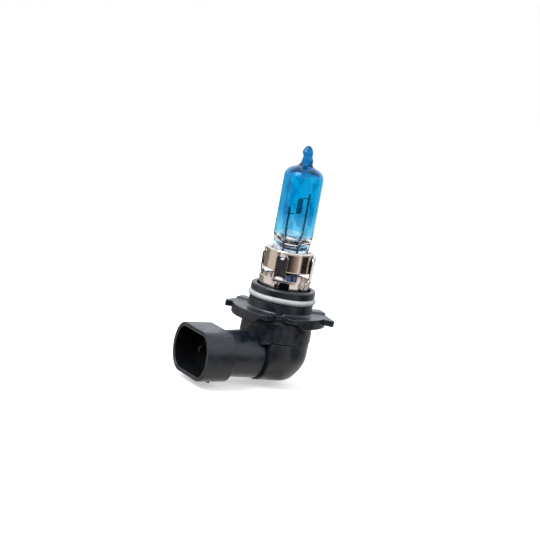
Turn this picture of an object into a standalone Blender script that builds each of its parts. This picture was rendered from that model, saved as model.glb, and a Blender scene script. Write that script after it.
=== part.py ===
"""Right-angle halogen headlight bulb, built as its separate pieces.

Frame: the origin is on the capsule's axis at the flange's top face, which seats in the lamp.
+Z runs up the capsule, the connector's mouth faces -X. Lengths below are millimetres.
"""

import math

import bmesh
import bpy
from mathutils import Matrix, Vector

MM = 0.001
MERGE = 0.00001
GAP = 0.3
COLLECTION = "headlight_bulb"

# Quartz capsule
GLASS_R = 6.45
GLASS_WALL = 1.2
GLASS_LOW_Z = 25.1
GLASS_HIGH_Z = 44.6
TIP_TOP_Z = 54.3
NECK_LOW_Z = 17.8
PINCH_WIDTH = 7.8
PINCH_THICK = 3.4
PINCH_LOW_Z = 9.4
CAVITY_LOW_Z = 22.6
SEAL_TURN = math.radians(-45.0)

# Filament and the current path through the seal
COIL_R = 0.72
COIL_WIRE_R = 0.13
COIL_TURNS = 10
COIL_LOW_Z = 32.0
COIL_HIGH_Z = 36.9
LEAD_R = 0.35
LONG_LEAD_X = 2.9
SHORT_LEAD_X = -2.7
LONG_LEAD_TOP_Z = 39.2
SHORT_LEAD_TOP_Z = 33.8
SEAL_LEAD_X = 2.3
FOIL_HIGH_Z = 19.2
FOIL_LOW_Z = 13.0
FOIL_WIDTH = 1.6
FOIL_THICK = 0.2
CHANNEL_WIDTH = 2.2
CHANNEL_THICK = 1.4

# Sheet-metal cup, clip and cage
SHEET = 0.4
CUP_R = 8.0
CUP_LOW_Z = 13.4
CUP_HIGH_Z = 20.3
CAGE_R = 8.7
CAGE_FOOT_R = 8.2
CAGE_LOW_Z = 1.5
TAPER_LOW_Z = 6.5
TAPER_HIGH_Z = 10.0
RING_HIGH_Z = 10.9
LEG_HIGH_Z = 19.5
LEG_WIDTH = 4.0
LEG_TURN = math.radians(-139.6)
WINDOW_TURN = math.radians(-130.6)
WINDOW_WIDTH = 5.0
WINDOW_LOW_Z = 3.2
WINDOW_HIGH_Z = 10.2
JOINT_TURN = math.radians(-84.0)
JOINT_WIDTH = 2.6

# Moulded base: collar, flange and lower body
COLLAR_R = 10.6
HUB_R = 9.5
RIM_R = 10.65
RIM_HIGH_Z = 7.9
POCKET_R = 9.0
POCKET_FLOOR_Z = 1.2
RING_SEAL_Z = 4.45
RING_SEAL_R = 10.3
RING_SEAL_SECTION_R = 0.95
FLANGE_THICK = 3.3
FRONT_PLATE_THICK = 1.6
PAD_HEIGHT = 0.5
LEDGE_Z = -2.5
BODY_TOP_R = 11.45
BODY_LOW_R = 11.8
BODY_FLOOR_Z = -1.5
SEAM_Z = -9.15
OVERHANG_Z = -10.8
OVERHANG_SIDE_Z = -9.7
OVERHANG_FLAT = 10.4
BODY_BORE_R = 8.0
WIRE_HOLE_R = 5.0
LIP_R = 9.0
LIP_LOW_Z = -10.9

# The flange's edge as (azimuth in degrees, radius), its wings, full-thickness lobes and pads
FLANGE_R = 15.8
FLANGE_EDGE = ((107.0, FLANGE_R), (165.0, 15.6), (195.0, 15.3), (208.0, 15.5), (216.0, FLANGE_R),
               (220.0, 15.4), (224.0, 14.1), (228.0, 12.3), (232.0, 11.2), (237.0, 10.9),
               (241.0, 11.2), (244.0, 12.2), (248.0, 14.0), (252.0, 14.6), (258.0, 14.6),
               (272.0, 14.3), (289.0, 14.5), (305.0, 15.0), (323.0, 15.6), (340.0, FLANGE_R),
               (357.0, FLANGE_R))
LEFT_WING = ((143.0, 17.9), (146.5, 18.0), (148.5, 15.9))
RIGHT_WING = ((308.5, 16.3), (311.5, 18.8), (316.0, 18.3), (327.0, 16.6))
LONG_LOBES = ((108.0, 207.0), (262.0, 356.0))
SHORT_LOBE = (393.0, 429.0)
PADS = ((108.0, 121.0), (341.0, 356.0))

# Right-angle cover, tube and connector
AXIS_Z = -15.4
TUBE_R = 7.4
TUBE_ROOT_R = 8.0
TUBE_BORE_R = 5.9
COVER_FACE_X = -7.2
COVER_R = 11.5
COVER_TURN_R = 8.5
COVER_TURN_Z = -15.0
COVER_SADDLE_R = 9.3
COVER_SADDLE_Z = -14.2
COVER_WALL = 2.2
TUBE_LIP_R = 6.6
TUBE_LIP_X = -5.6
TUBE_END_X = -20.7
SPIGOT_LENGTH = 2.6
SPIGOT_BORE_R = 4.6
MOUTH_X = -31.4
SHROUD_Z = -15.0
SHROUD_HEIGHT = 16.2
SHROUD_WIDTH = 22.3
SHROUD_FLAT = 10.9
SHROUD_WALL = 1.4
SHROUD_FLOOR_X = -23.2
SHROUD_EDGE = 0.35
RAMP_LOW_Z = -24.8
RAMP_WIDTH = 5.0
BLADE_Y = 3.6
BLADE_WIDTH = 2.8
BLADE_THICK = 0.8
BLADE_TIP_X = -26.0
BLADE_TOP_Z = -4.5

STEPS = 48


def collection(name):
    """A new collection in the scene."""
    group = bpy.data.collections.new(name)
    bpy.context.scene.collection.children.link(group)
    return group


def finish(colour, roughness, metallic=0.0, transmission=0.0):
    """A Principled material of one colour."""
    def make(name):
        mat = bpy.data.materials.new(name)
        mat.use_nodes = True
        shader = mat.node_tree.nodes["Principled BSDF"]
        shader.inputs["Base Color"].default_value = (*colour, 1.0)
        shader.inputs["Roughness"].default_value = roughness
        shader.inputs["Metallic"].default_value = metallic
        shader.inputs["Transmission Weight"].default_value = transmission
        return mat
    return make


BLACK_PLASTIC = finish((0.035, 0.04, 0.048), 0.45)
RUBBER = finish((0.62, 0.64, 0.65), 0.55)
BLUE_QUARTZ = finish((0.01, 0.28, 0.72), 0.05, transmission=0.8)
NICKEL = finish((0.62, 0.56, 0.5), 0.25, metallic=1.0)
BRIGHT_STEEL = finish((0.75, 0.74, 0.72), 0.3, metallic=1.0)
TUNGSTEN = finish((0.3, 0.29, 0.28), 0.4, metallic=1.0)
TINNED = finish((0.7, 0.7, 0.68), 0.35, metallic=1.0)
POTTING = finish((0.25, 0.24, 0.22), 0.7)


def place(name, mesh, make_material, group):
    """An object of this mesh, with its own material, in the given collection."""
    obj = bpy.data.objects.new(name, mesh)
    group.objects.link(obj)
    mesh.materials.clear()
    mesh.materials.append(make_material(name))
    mesh.shade_smooth()
    mesh.set_sharp_from_angle(angle=math.radians(35.0))
    return obj


def to_mesh(obj, name):
    """A mesh of the object as its modifiers or curve make it, with its loose caps welded."""
    graph = bpy.context.evaluated_depsgraph_get()
    mesh = bpy.data.meshes.new_from_object(obj.evaluated_get(graph))
    mesh.name = name
    work = bmesh.new()
    work.from_mesh(mesh)
    bmesh.ops.remove_doubles(work, verts=work.verts, dist=MERGE)
    bmesh.ops.transform(work, matrix=obj.matrix_world, verts=work.verts)
    work.to_mesh(mesh)
    work.free()
    bpy.data.objects.remove(obj)
    return mesh


def turned(profile, closed=False, steps=STEPS):
    """A solid of revolution about Z; the profile (radius, z) runs down its outer side."""
    mesh = bpy.data.meshes.new("profile")
    points = [(r * MM, 0.0, z * MM) for r, z in profile]
    edges = [(i, i + 1) for i in range(len(points) - 1)]
    if closed:
        edges.append((len(points) - 1, 0))
    mesh.from_pydata(points, edges, [])
    obj = bpy.data.objects.new("profile", mesh)
    bpy.context.scene.collection.objects.link(obj)
    screw = obj.modifiers.new("turn", "SCREW")
    screw.steps = steps
    screw.render_steps = steps
    screw.use_merge_vertices = True
    screw.merge_threshold = MERGE
    bpy.context.view_layer.update()
    return to_mesh(obj, "turned")


def block(size, centre, turn=0.0):
    """A box of this size about its centre, turned about Z."""
    work = bmesh.new()
    scale = Matrix.Diagonal((*[s * MM for s in size], 1.0))
    move = Matrix.Translation(Vector(centre) * MM)
    spin = Matrix.Rotation(turn, 4, "Z")
    bmesh.ops.create_cube(work, size=1.0, matrix=spin @ move @ scale)
    mesh = bpy.data.meshes.new("block")
    work.to_mesh(mesh)
    work.free()
    return mesh


def rod_x(radius, x_from, x_to, z, far_radius=None):
    """A cylinder along X, or a cone with another radius at its far end."""
    work = bmesh.new()
    far_radius = radius if far_radius is None else far_radius
    middle = Vector(((x_from + x_to) / 2, 0.0, z)) * MM
    lie = Matrix.Translation(middle) @ Matrix.Rotation(math.pi / 2, 4, "Y")
    bmesh.ops.create_cone(work, cap_ends=True, segments=STEPS, radius1=radius * MM,
                          radius2=far_radius * MM, depth=(x_to - x_from) * MM, matrix=lie)
    mesh = bpy.data.meshes.new("rod")
    work.to_mesh(mesh)
    work.free()
    return mesh


def plate(outline, z_from, z_to, holes=()):
    """A flat outline, with any holes, filled between two heights."""
    curve = bpy.data.curves.new("plate", "CURVE")
    curve.dimensions = "2D"
    curve.fill_mode = "BOTH"
    curve.extrude = (z_to - z_from) / 2 * MM
    for loop in (outline, *holes):
        line = curve.splines.new("POLY")
        line.points.add(len(loop) - 1)
        line.use_cyclic_u = True
        for point, (x, y) in zip(line.points, loop):
            point.co = (x * MM, y * MM, 0.0, 1.0)
    obj = bpy.data.objects.new("plate", curve)
    obj.location.z = (z_from + z_to) / 2 * MM
    bpy.context.scene.collection.objects.link(obj)
    bpy.context.view_layer.update()
    return to_mesh(obj, "plate")


def wire(points, radius, resolution=2):
    """A round wire through the points."""
    curve = bpy.data.curves.new("wire", "CURVE")
    curve.dimensions = "3D"
    curve.bevel_depth = radius * MM
    curve.bevel_resolution = resolution
    curve.use_fill_caps = True
    line = curve.splines.new("POLY")
    line.points.add(len(points) - 1)
    for point, where in zip(line.points, points):
        point.co = (*(Vector(where) * MM), 1.0)
    obj = bpy.data.objects.new("wire", curve)
    bpy.context.scene.collection.objects.link(obj)
    bpy.context.view_layer.update()
    return to_mesh(obj, "wire")


def combine(first, steps, cutters):
    """The first mesh after a list of (operation, mesh) Booleans."""
    base = bpy.data.objects.new("work", first)
    bpy.context.scene.collection.objects.link(base)
    for operation, mesh in steps:
        tool = bpy.data.objects.new("cutter", mesh)
        tool.display_type = "WIRE"
        tool.hide_render = True
        cutters.objects.link(tool)
        cut = base.modifiers.new(operation.lower(), "BOOLEAN")
        cut.operation = operation
        cut.solver = "EXACT"
        cut.object = tool
    bpy.context.view_layer.update()
    return to_mesh(base, "combined")


def turn_mesh(mesh, angle):
    """The same mesh, turned about the capsule's axis."""
    mesh.transform(Matrix.Rotation(angle, 4, "Z"))
    return mesh


def arc(radius, start, end, count):
    """Points of a circle about the origin, from one angle in degrees to another."""
    turns = [math.radians(start + (end - start) * i / (count - 1)) for i in range(count)]
    return [(radius * math.cos(a), radius * math.sin(a)) for a in turns]


def polar(radius, degrees):
    """One point at a radius and an angle."""
    angle = math.radians(degrees)
    return (radius * math.cos(angle), radius * math.sin(angle))


# ---------------------------------------------------------------- capsule

def capsule_outline():
    """The quartz outer profile from the exhaust tip to the neck above the pinch."""
    tip = [(0.0, TIP_TOP_Z), (1.1, 53.9), (1.5, 53.0), (1.65, 51.5), (1.8, 49.5), (1.9, 48.4)]
    dome = [(2.6, 47.7), (3.6, 47.3), (4.6, 46.9), (5.5, 46.2), (6.1, 45.4)]
    barrel = [(GLASS_R, GLASS_HIGH_Z), (GLASS_R, GLASS_LOW_Z)]
    shoulder = [(6.15, 24.0), (6.0, 22.6), (5.9, 20.6), (5.2, 19.2), (3.8, 18.2)]
    return tip + dome + barrel + shoulder + [(0.0, NECK_LOW_Z)]


def capsule_cavity():
    """The bulb space inside the quartz."""
    inner = GLASS_R - GLASS_WALL
    top = [(0.0, 46.5), (2.6, 46.2), (4.3, 45.6), (inner, 44.4)]
    low = [(inner, 26.0), (4.7, 24.2), (3.4, 23.1), (0.0, CAVITY_LOW_Z)]
    return top + low


def glass_envelope(group, cutters):
    """Quartz bulb, pinch and the two foil channels, which open at the pinch's lower end."""
    pinch_height = CAVITY_LOW_Z - 1.6 - PINCH_LOW_Z
    pinch = block((PINCH_WIDTH, PINCH_THICK, pinch_height),
                  (0.0, 0.0, PINCH_LOW_Z + pinch_height / 2))
    steps = [("UNION", pinch), ("DIFFERENCE", turned(capsule_cavity()))]
    channel_height = CAVITY_LOW_Z + 2.0 - PINCH_LOW_Z
    for side in (-1, 1):
        channel = block((CHANNEL_WIDTH, CHANNEL_THICK, channel_height),
                        (side * SEAL_LEAD_X, 0.0, PINCH_LOW_Z - 1.0 + channel_height / 2))
        steps.append(("DIFFERENCE", channel))
    mesh = combine(turned(capsule_outline()), steps, cutters)
    return place("glass_envelope", turn_mesh(mesh, SEAL_TURN), BLUE_QUARTZ, group)


def coil_points():
    """The filament's helix, with a straight tail towards each lead."""
    per_turn = 10
    count = COIL_TURNS * per_turn + 1
    points = [(SHORT_LEAD_X + LEAD_R + COIL_WIRE_R + GAP, 0.0, COIL_LOW_Z - 0.6)]
    for i in range(count):
        angle = math.pi + 2 * math.pi * i / per_turn
        height = COIL_LOW_Z + (COIL_HIGH_Z - COIL_LOW_Z) * i / (count - 1)
        points.append((COIL_R * math.cos(angle), COIL_R * math.sin(angle), height))
    points.append((LONG_LEAD_X - LEAD_R - COIL_WIRE_R - GAP, 0.0, COIL_HIGH_Z + 0.7))
    return points


def filament_coil(group):
    """Tungsten coil along the capsule's axis."""
    mesh = wire(coil_points(), COIL_WIRE_R, resolution=1)
    return place("filament_coil", turn_mesh(mesh, SEAL_TURN), TUNGSTEN, group)


def inner_lead(name, side, lead_x, top_z, group):
    """A support wire from the foil up beside the filament."""
    foot = (side * SEAL_LEAD_X, 0.0, FOIL_HIGH_Z + GAP)
    knee = (side * SEAL_LEAD_X, 0.0, CAVITY_LOW_Z - 0.2)
    bend = (lead_x, 0.0, CAVITY_LOW_Z + 2.2)
    mesh = wire([foot, knee, bend, (lead_x, 0.0, top_z)], LEAD_R)
    return place(name, turn_mesh(mesh, SEAL_TURN), TUNGSTEN, group)


def seal_foil(name, side, group):
    """Molybdenum foil pressed in the pinch between the inner and the outer lead."""
    height = FOIL_HIGH_Z - FOIL_LOW_Z
    mesh = block((FOIL_WIDTH, FOIL_THICK, height),
                 (side * SEAL_LEAD_X, 0.0, FOIL_LOW_Z + height / 2))
    return place(name, turn_mesh(mesh, SEAL_TURN), TINNED, group)


def outer_lead(name, side, group):
    """A lead from the foil down through the base to its blade."""
    spin = Matrix.Rotation(SEAL_TURN, 3, "Z")
    top = spin @ Vector((side * SEAL_LEAD_X, 0.0, FOIL_LOW_Z - GAP))
    below = spin @ Vector((side * SEAL_LEAD_X, 0.0, PINCH_LOW_Z - 1.2))
    foot_y = -side * lead_foot_y()
    bend = Vector((0.0, foot_y, 0.8))
    foot = Vector((0.0, foot_y, BLADE_TOP_Z - 2.6))
    return place(name, wire([top, below, bend, foot], LEAD_R), TINNED, group)


def lead_foot_y():
    """How far the outer leads stand from the middle plane where they meet the blades."""
    return BLADE_Y - BLADE_THICK / 2 - GAP - 0.4 - GAP - LEAD_R


def lead_ferrule(name, side, group):
    """Crimp sleeve that joins an outer lead to its blade."""
    bore = LEAD_R + GAP
    top, low = BLADE_TOP_Z - 0.2, BLADE_TOP_Z - 2.2
    ring = [(bore + 0.4, top), (bore + 0.4, low), (bore, low), (bore, top)]
    mesh = turned(ring, closed=True, steps=20)
    mesh.transform(Matrix.Translation((0.0, -side * lead_foot_y() * MM, 0.0)))
    return place(name, mesh, TINNED, group)


# ---------------------------------------------------------------- sheet metal

def capsule_cup(group, cutters):
    """Drawn cup around the neck, with a rolled lip and a slot for the pinch in its floor."""
    inner = CUP_R - SHEET
    outer_side = [(6.75, CUP_HIGH_Z - 0.35), (7.1, CUP_HIGH_Z), (7.6, CUP_HIGH_Z - 0.1),
                  (CUP_R, CUP_HIGH_Z - 0.6), (CUP_R, CUP_LOW_Z + 0.4), (inner, CUP_LOW_Z)]
    inner_side = [(0.0, CUP_LOW_Z), (0.0, CUP_LOW_Z + SHEET), (inner - 0.2, CUP_LOW_Z + SHEET),
                  (inner, CUP_LOW_Z + 0.7), (inner, CUP_HIGH_Z - 0.8), (7.2, CUP_HIGH_Z - 0.45)]
    profile = outer_side + inner_side
    slot = block((PINCH_WIDTH + 0.8, PINCH_THICK + 2.6, 2.0), (0.0, 0.0, CUP_LOW_Z), SEAL_TURN)
    mesh = combine(turned(profile, closed=True), [("DIFFERENCE", slot)], cutters)
    return place("capsule_cup", mesh, NICKEL, group)


def capsule_clip(group, cutters):
    """Spring plate on the cup's floor, with two arms that grip the pinch's flats."""
    low = CUP_LOW_Z + SHEET + GAP
    high = CUP_HIGH_Z - 2.4
    opening = block((PINCH_WIDTH + 2 * GAP, PINCH_THICK + 2 * GAP, 20.0), (0.0, 0.0, low))
    rim = turned([(0.0, low + SHEET), (7.1, low + SHEET), (7.1, low), (0.0, low)])
    arm_y = PINCH_THICK / 2 + GAP + SHEET / 2
    steps = [("DIFFERENCE", opening)]
    for side in (-1, 1):
        arm = block((5.2, SHEET, high - low), (0.0, side * arm_y, (low + high) / 2))
        steps.append(("UNION", arm))
    mesh = combine(rim, steps, cutters)
    return place("capsule_clip", turn_mesh(mesh, SEAL_TURN), BRIGHT_STEEL, group)


def cage_wall():
    """A thin sheet tube about the axis, drawn in towards its foot."""
    outer = [(CAGE_R, LEG_HIGH_Z + 0.8), (CAGE_R, TAPER_HIGH_Z), (CAGE_FOOT_R, TAPER_LOW_Z),
             (CAGE_FOOT_R, CAGE_LOW_Z)]
    inner = [(r - SHEET, z) for r, z in reversed(outer)]
    return turned(outer + inner, closed=True)


def leg_prism():
    """An upright slab across the cage, rounded at its top like a leg's end."""
    half = LEG_WIDTH / 2
    low = RING_HIGH_Z - 1.0
    top_centre = LEG_HIGH_Z - half
    tongue = [(x, y + top_centre) for x, y in arc(half, 0.0, 180.0, 13)]
    outline = [(half, low)] + tongue + [(-half, low)]
    reach = 1.4 * CAGE_R
    prism = plate(outline, -reach, reach)
    prism.transform(Matrix.Rotation(math.pi / 2, 4, "X"))
    prism.transform(Matrix.Rotation(math.pi / 2, 4, "Z"))
    return prism


def focus_cage(group, cutters):
    """Open-jointed cage that stands in the base and carries the cup on four round-topped legs."""
    across = 3 * CAGE_R
    quarters = (0.0, math.pi / 2)
    above_ring = block((across, across, across), (0.0, 0.0, RING_HIGH_Z + across / 2))
    prisms = [("DIFFERENCE", turn_mesh(leg_prism(), LEG_TURN + quarter)) for quarter in quarters]
    steps = [("DIFFERENCE", combine(above_ring, prisms, cutters))]
    window_height = WINDOW_HIGH_Z - WINDOW_LOW_Z
    for quarter in quarters:
        window = block((across, WINDOW_WIDTH, window_height),
                       (0.0, 0.0, WINDOW_LOW_Z + window_height / 2), WINDOW_TURN + quarter)
        steps.append(("DIFFERENCE", window))
    joint = block((CAGE_R, JOINT_WIDTH, across), (CAGE_R, 0.0, 0.0), JOINT_TURN)
    steps.append(("DIFFERENCE", joint))
    mesh = combine(cage_wall(), steps, cutters)
    return place("focus_cage", mesh, BRIGHT_STEEL, group)


# ---------------------------------------------------------------- base

def edge_radius(azimuth):
    """The flange's radius at an azimuth."""
    for (start, first), (end, last) in zip(FLANGE_EDGE, FLANGE_EDGE[1:]):
        if azimuth <= end:
            return first + (last - first) * (azimuth - start) / (end - start)
    return FLANGE_R


def edge_points(start, end, inset=0.0):
    """The flange's edge from one azimuth to another, a point every three degrees or so."""
    count = max(1, round((end - start) / 3.0))
    turns = [start + (end - start) * i / count for i in range(count + 1)]
    return [polar(edge_radius(turn) - inset, turn) for turn in turns]


def flange_outline():
    """The whole flange: two long lobes with a wing each, one short lobe and a front scallop."""
    root = COLLAR_R - 0.8
    left = edge_points(FLANGE_EDGE[0][0], 121.0) + [polar(r, turn) for turn, r in LEFT_WING]
    front = edge_points(152.0, 304.0)
    right = [polar(r, turn) for turn, r in RIGHT_WING] + edge_points(333.0, FLANGE_EDGE[-1][0])
    back_left = [polar(14.6, 361.0), polar(root, 363.0)] + arc(root, 372.0, 388.0, 4)
    short_lobe = edge_points(*SHORT_LOBE)
    back_right = arc(root, 434.0, 458.0, 5) + [polar(14.4, 462.5)]
    return left + front + right + back_left + short_lobe + back_right


def thick_sector(start, end, inset):
    """Outline of a part of the flange, which roots inside the collar's wall."""
    return edge_points(start, end, inset) + arc(HUB_R, end, start, 8)


def base_profile():
    """Turned profile of the collar and lower body, down the outside and up the bore."""
    rim = [(9.3, RIM_HIGH_Z), (9.9, 7.75), (10.4, 7.3), (RIM_R, 6.6), (RIM_R, 5.6)]
    half_groove = RING_SEAL_SECTION_R + 0.15
    groove_r = RING_SEAL_R - RING_SEAL_SECTION_R - GAP
    groove = [(groove_r, RING_SEAL_Z + half_groove), (groove_r, RING_SEAL_Z - half_groove)]
    collar = [(COLLAR_R, RING_SEAL_Z - half_groove), (COLLAR_R, LEDGE_Z)]
    body = [(BODY_TOP_R - 0.3, LEDGE_Z), (BODY_TOP_R, LEDGE_Z - 0.3), (BODY_LOW_R, SEAM_Z + 1.2),
            (BODY_LOW_R, SEAM_Z), (LIP_R, SEAM_Z), (LIP_R, LIP_LOW_Z)]
    bore = [(BODY_BORE_R, LIP_LOW_Z), (BODY_BORE_R, BODY_FLOOR_Z), (WIRE_HOLE_R, BODY_FLOOR_Z),
            (WIRE_HOLE_R, POCKET_FLOOR_Z)]
    pocket = [(POCKET_R, POCKET_FLOOR_Z), (POCKET_R, RIM_HIGH_Z - 0.3)]
    return rim + groove + collar + body + bore + pocket


def overhang(cutters):
    """The lower body's front part, which laps over the tube and slopes up at both sides."""
    top = SEAM_Z + 0.8
    middle, side = OVERHANG_FLAT / 2, COVER_SADDLE_R
    radius = BODY_LOW_R - 0.02
    slab = turned([(0.0, top), (radius, top), (radius, OVERHANG_Z - 1.0), (0.0, OVERHANG_Z - 1.0)])
    outline = [(2 * side, top + 1.0), (-2 * side, top + 1.0), (-2 * side, OVERHANG_SIDE_Z),
               (-side, OVERHANG_SIDE_Z), (-middle, OVERHANG_Z), (middle, OVERHANG_Z),
               (side, OVERHANG_SIDE_Z), (2 * side, OVERHANG_SIDE_Z)]
    wedge = plate(outline, COVER_FACE_X - GAP - BODY_LOW_R, COVER_FACE_X - GAP)
    wedge.transform(Matrix.Rotation(math.pi / 2, 4, "Z") @ Matrix.Rotation(math.pi / 2, 4, "X"))
    return combine(slab, [("INTERSECT", wedge)], cutters)


def base_body(group, cutters):
    """Collar, flange, lower body and tube, moulded in one piece."""
    face = COVER_FACE_X - GAP
    tube = rod_x(TUBE_R, TUBE_END_X, face, AXIS_Z, far_radius=TUBE_ROOT_R)
    tube_lip = rod_x(TUBE_LIP_R, face - 1.0, TUBE_LIP_X, AXIS_Z)
    tube_bore = rod_x(TUBE_BORE_R, TUBE_END_X - 1.0, TUBE_LIP_X + 1.0, AXIS_Z)
    hub = arc(HUB_R, 0.0, 352.5, STEPS)
    steps = [("UNION", plate(flange_outline(), -FRONT_PLATE_THICK, 0.0, holes=[hub]))]
    for start, end in (*LONG_LOBES, (SHORT_LOBE[0] + 1.0, SHORT_LOBE[1] - 1.0)):
        lobe = plate(thick_sector(start, end, 0.05), -FLANGE_THICK, -FRONT_PLATE_THICK + 0.4)
        steps.append(("UNION", lobe))
    for start, end in PADS:
        steps.append(("UNION", plate(thick_sector(start, end, 0.1), -0.4, PAD_HEIGHT)))
    steps.append(("UNION", overhang(cutters)))
    steps.append(("UNION", tube))
    steps.append(("UNION", tube_lip))
    steps.append(("DIFFERENCE", tube_bore))
    mesh = combine(turned(base_profile(), closed=True), steps, cutters)
    return place("base_body", mesh, BLACK_PLASTIC, group)


def o_ring(group):
    """Sealing ring in the collar's groove."""
    count = 14
    ring = []
    for i in range(count):
        angle = math.pi / 2 - 2 * math.pi * i / count
        ring.append((RING_SEAL_R + RING_SEAL_SECTION_R * math.cos(angle),
                     RING_SEAL_Z + RING_SEAL_SECTION_R * math.sin(angle)))
    return place("o_ring", turned(ring, closed=True), RUBBER, group)


def potting_seal(group, cutters):
    """Sealing compound below the collar's floor, with a hole for each outer lead."""
    top, thick = BODY_FLOOR_Z - GAP, 1.8
    low = top - thick
    disc = turned([(0.0, top), (BODY_BORE_R - GAP, top), (BODY_BORE_R - GAP, low), (0.0, low)])
    steps = []
    for side in (-1, 1):
        hole_r = LEAD_R + GAP
        drill = turned([(0.0, top + thick), (hole_r, top + thick), (hole_r, low - thick),
                        (0.0, low - thick)], steps=16)
        drill.transform(Matrix.Translation((0.0, side * lead_foot_y() * MM, 0.0)))
        steps.append(("DIFFERENCE", drill))
    return place("potting_seal", combine(disc, steps, cutters), POTTING, group)


# ---------------------------------------------------------------- connector

def cover_profile(radius, turn_r, top_z):
    """Profile of an upright barrel that turns in to a flat round bottom."""
    count = 9
    flat = radius - turn_r
    profile = [(0.0, top_z), (radius, top_z)]
    for i in range(count):
        angle = math.pi / 2 * i / (count - 1)
        profile.append((flat + turn_r * math.cos(angle), COVER_TURN_Z - turn_r * math.sin(angle)))
    return profile + [(0.0, COVER_TURN_Z - turn_r)]


def elbow_cover(group, cutters):
    """Hollow cover of the right-angle corner, open at its top and towards the tube."""
    top = SEAM_Z - GAP
    inner_r = LIP_R + GAP
    outer = turned(cover_profile(COVER_R, COVER_TURN_R, top))
    saddle = rod_x(COVER_SADDLE_R, COVER_FACE_X - 2.0, 0.5, COVER_SADDLE_Z)
    size = 4 * COVER_R
    cut_front = block((size, size, size), (COVER_FACE_X - size / 2, 0.0, AXIS_Z))
    cut_top = block((size, size, size), (0.0, 0.0, top + size / 2))
    cavity = turned(cover_profile(inner_r, COVER_TURN_R - COVER_WALL, top + 1.0))
    channel = rod_x(TUBE_LIP_R + GAP, COVER_FACE_X - 2.0, 0.0, AXIS_Z)
    steps = [("UNION", saddle), ("DIFFERENCE", cut_front), ("DIFFERENCE", cut_top),
             ("DIFFERENCE", cavity), ("DIFFERENCE", channel)]
    return place("elbow_cover", combine(outer, steps, cutters), BLACK_PLASTIC, group)


def shroud_section(height, width, count=12):
    """Outline (y, z) of the connector: flat top and bottom, bulged ends."""
    bulge = (width - SHROUD_FLAT) / 2
    right = [(SHROUD_FLAT / 2 + bulge * math.cos(a), height / 2 * math.sin(a))
             for a in [math.pi * (i / count - 0.5) for i in range(count + 1)]]
    left = [(-y, -z) for y, z in right]
    return right + left


def loft_x(rings):
    """A closed solid through outlines of equal point count; each ring is (x, outline)."""
    work = bmesh.new()
    loops = []
    for x, outline in rings:
        loops.append([work.verts.new((x * MM, y * MM, (SHROUD_Z + up) * MM)) for y, up in outline])
    for near, far in zip(loops, loops[1:]):
        for i in range(len(near)):
            j = (i + 1) % len(near)
            work.faces.new((near[i], near[j], far[j], far[i]))
    work.faces.new(reversed(loops[0]))
    work.faces.new(loops[-1])
    bmesh.ops.recalc_face_normals(work, faces=work.faces)
    mesh = bpy.data.meshes.new("loft")
    work.to_mesh(mesh)
    work.free()
    return mesh


def latch_ramp():
    """Ramp under the shroud that the mating plug's latch rides over."""
    low = SHROUD_Z - SHROUD_HEIGHT / 2
    outline = [(-28.6, low + 0.3), (-28.6, low - 0.05), (-24.2, RAMP_LOW_Z), (-23.8, RAMP_LOW_Z),
               (-23.4, low + 0.3)]
    ramp = plate(outline, -RAMP_WIDTH / 2, RAMP_WIDTH / 2)
    ramp.transform(Matrix.Rotation(math.pi / 2, 4, "X"))
    return ramp


def connector_shroud(group, cutters):
    """Keyed shroud around the blades, with a spigot that plugs into the tube."""
    back = TUBE_END_X - GAP
    full = shroud_section(SHROUD_HEIGHT, SHROUD_WIDTH)
    eased = shroud_section(SHROUD_HEIGHT - 2 * SHROUD_EDGE, SHROUD_WIDTH - 2 * SHROUD_EDGE)
    outer = loft_x([(back, eased), (back - SHROUD_EDGE, full), (MOUTH_X, full)])
    inside = shroud_section(SHROUD_HEIGHT - 2 * SHROUD_WALL, SHROUD_WIDTH - 2 * SHROUD_WALL)
    cavity = loft_x([(SHROUD_FLOOR_X, inside), (MOUTH_X - 1.0, inside)])
    spigot = rod_x(TUBE_BORE_R - GAP, back - 0.5, back + SPIGOT_LENGTH, AXIS_Z)
    spigot_bore = rod_x(SPIGOT_BORE_R, back - 1.2, back + SPIGOT_LENGTH + 1.0, AXIS_Z)
    steps = [("UNION", latch_ramp()), ("DIFFERENCE", cavity), ("UNION", spigot),
             ("DIFFERENCE", spigot_bore)]
    for side in (-1, 1):
        slot = block((4 * SPIGOT_LENGTH, BLADE_THICK + 2 * GAP, BLADE_WIDTH + 2 * GAP),
                     (back, side * BLADE_Y, AXIS_Z))
        steps.append(("DIFFERENCE", slot))
    return place("connector_shroud", combine(outer, steps, cutters), BLACK_PLASTIC, group)


def terminal_blade(name, side, group):
    """Stamped contact: a blade in the shroud that turns up to the outer lead."""
    half = BLADE_WIDTH / 2
    outline = [(BLADE_TIP_X, -half + 0.7), (BLADE_TIP_X + 0.9, -half), (half - 0.8, -half),
               (half, -half + 0.8), (half, BLADE_TOP_Z - AXIS_Z), (-half, BLADE_TOP_Z - AXIS_Z),
               (-half, half), (BLADE_TIP_X + 0.9, half), (BLADE_TIP_X, half - 0.7)]
    mesh = plate(outline, -BLADE_THICK / 2, BLADE_THICK / 2)
    mesh.transform(Matrix.Rotation(math.pi / 2, 4, "X"))
    mesh.transform(Matrix.Translation(Vector((0.0, side * BLADE_Y, AXIS_Z)) * MM))
    return place(name, mesh, TINNED, group)


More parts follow.
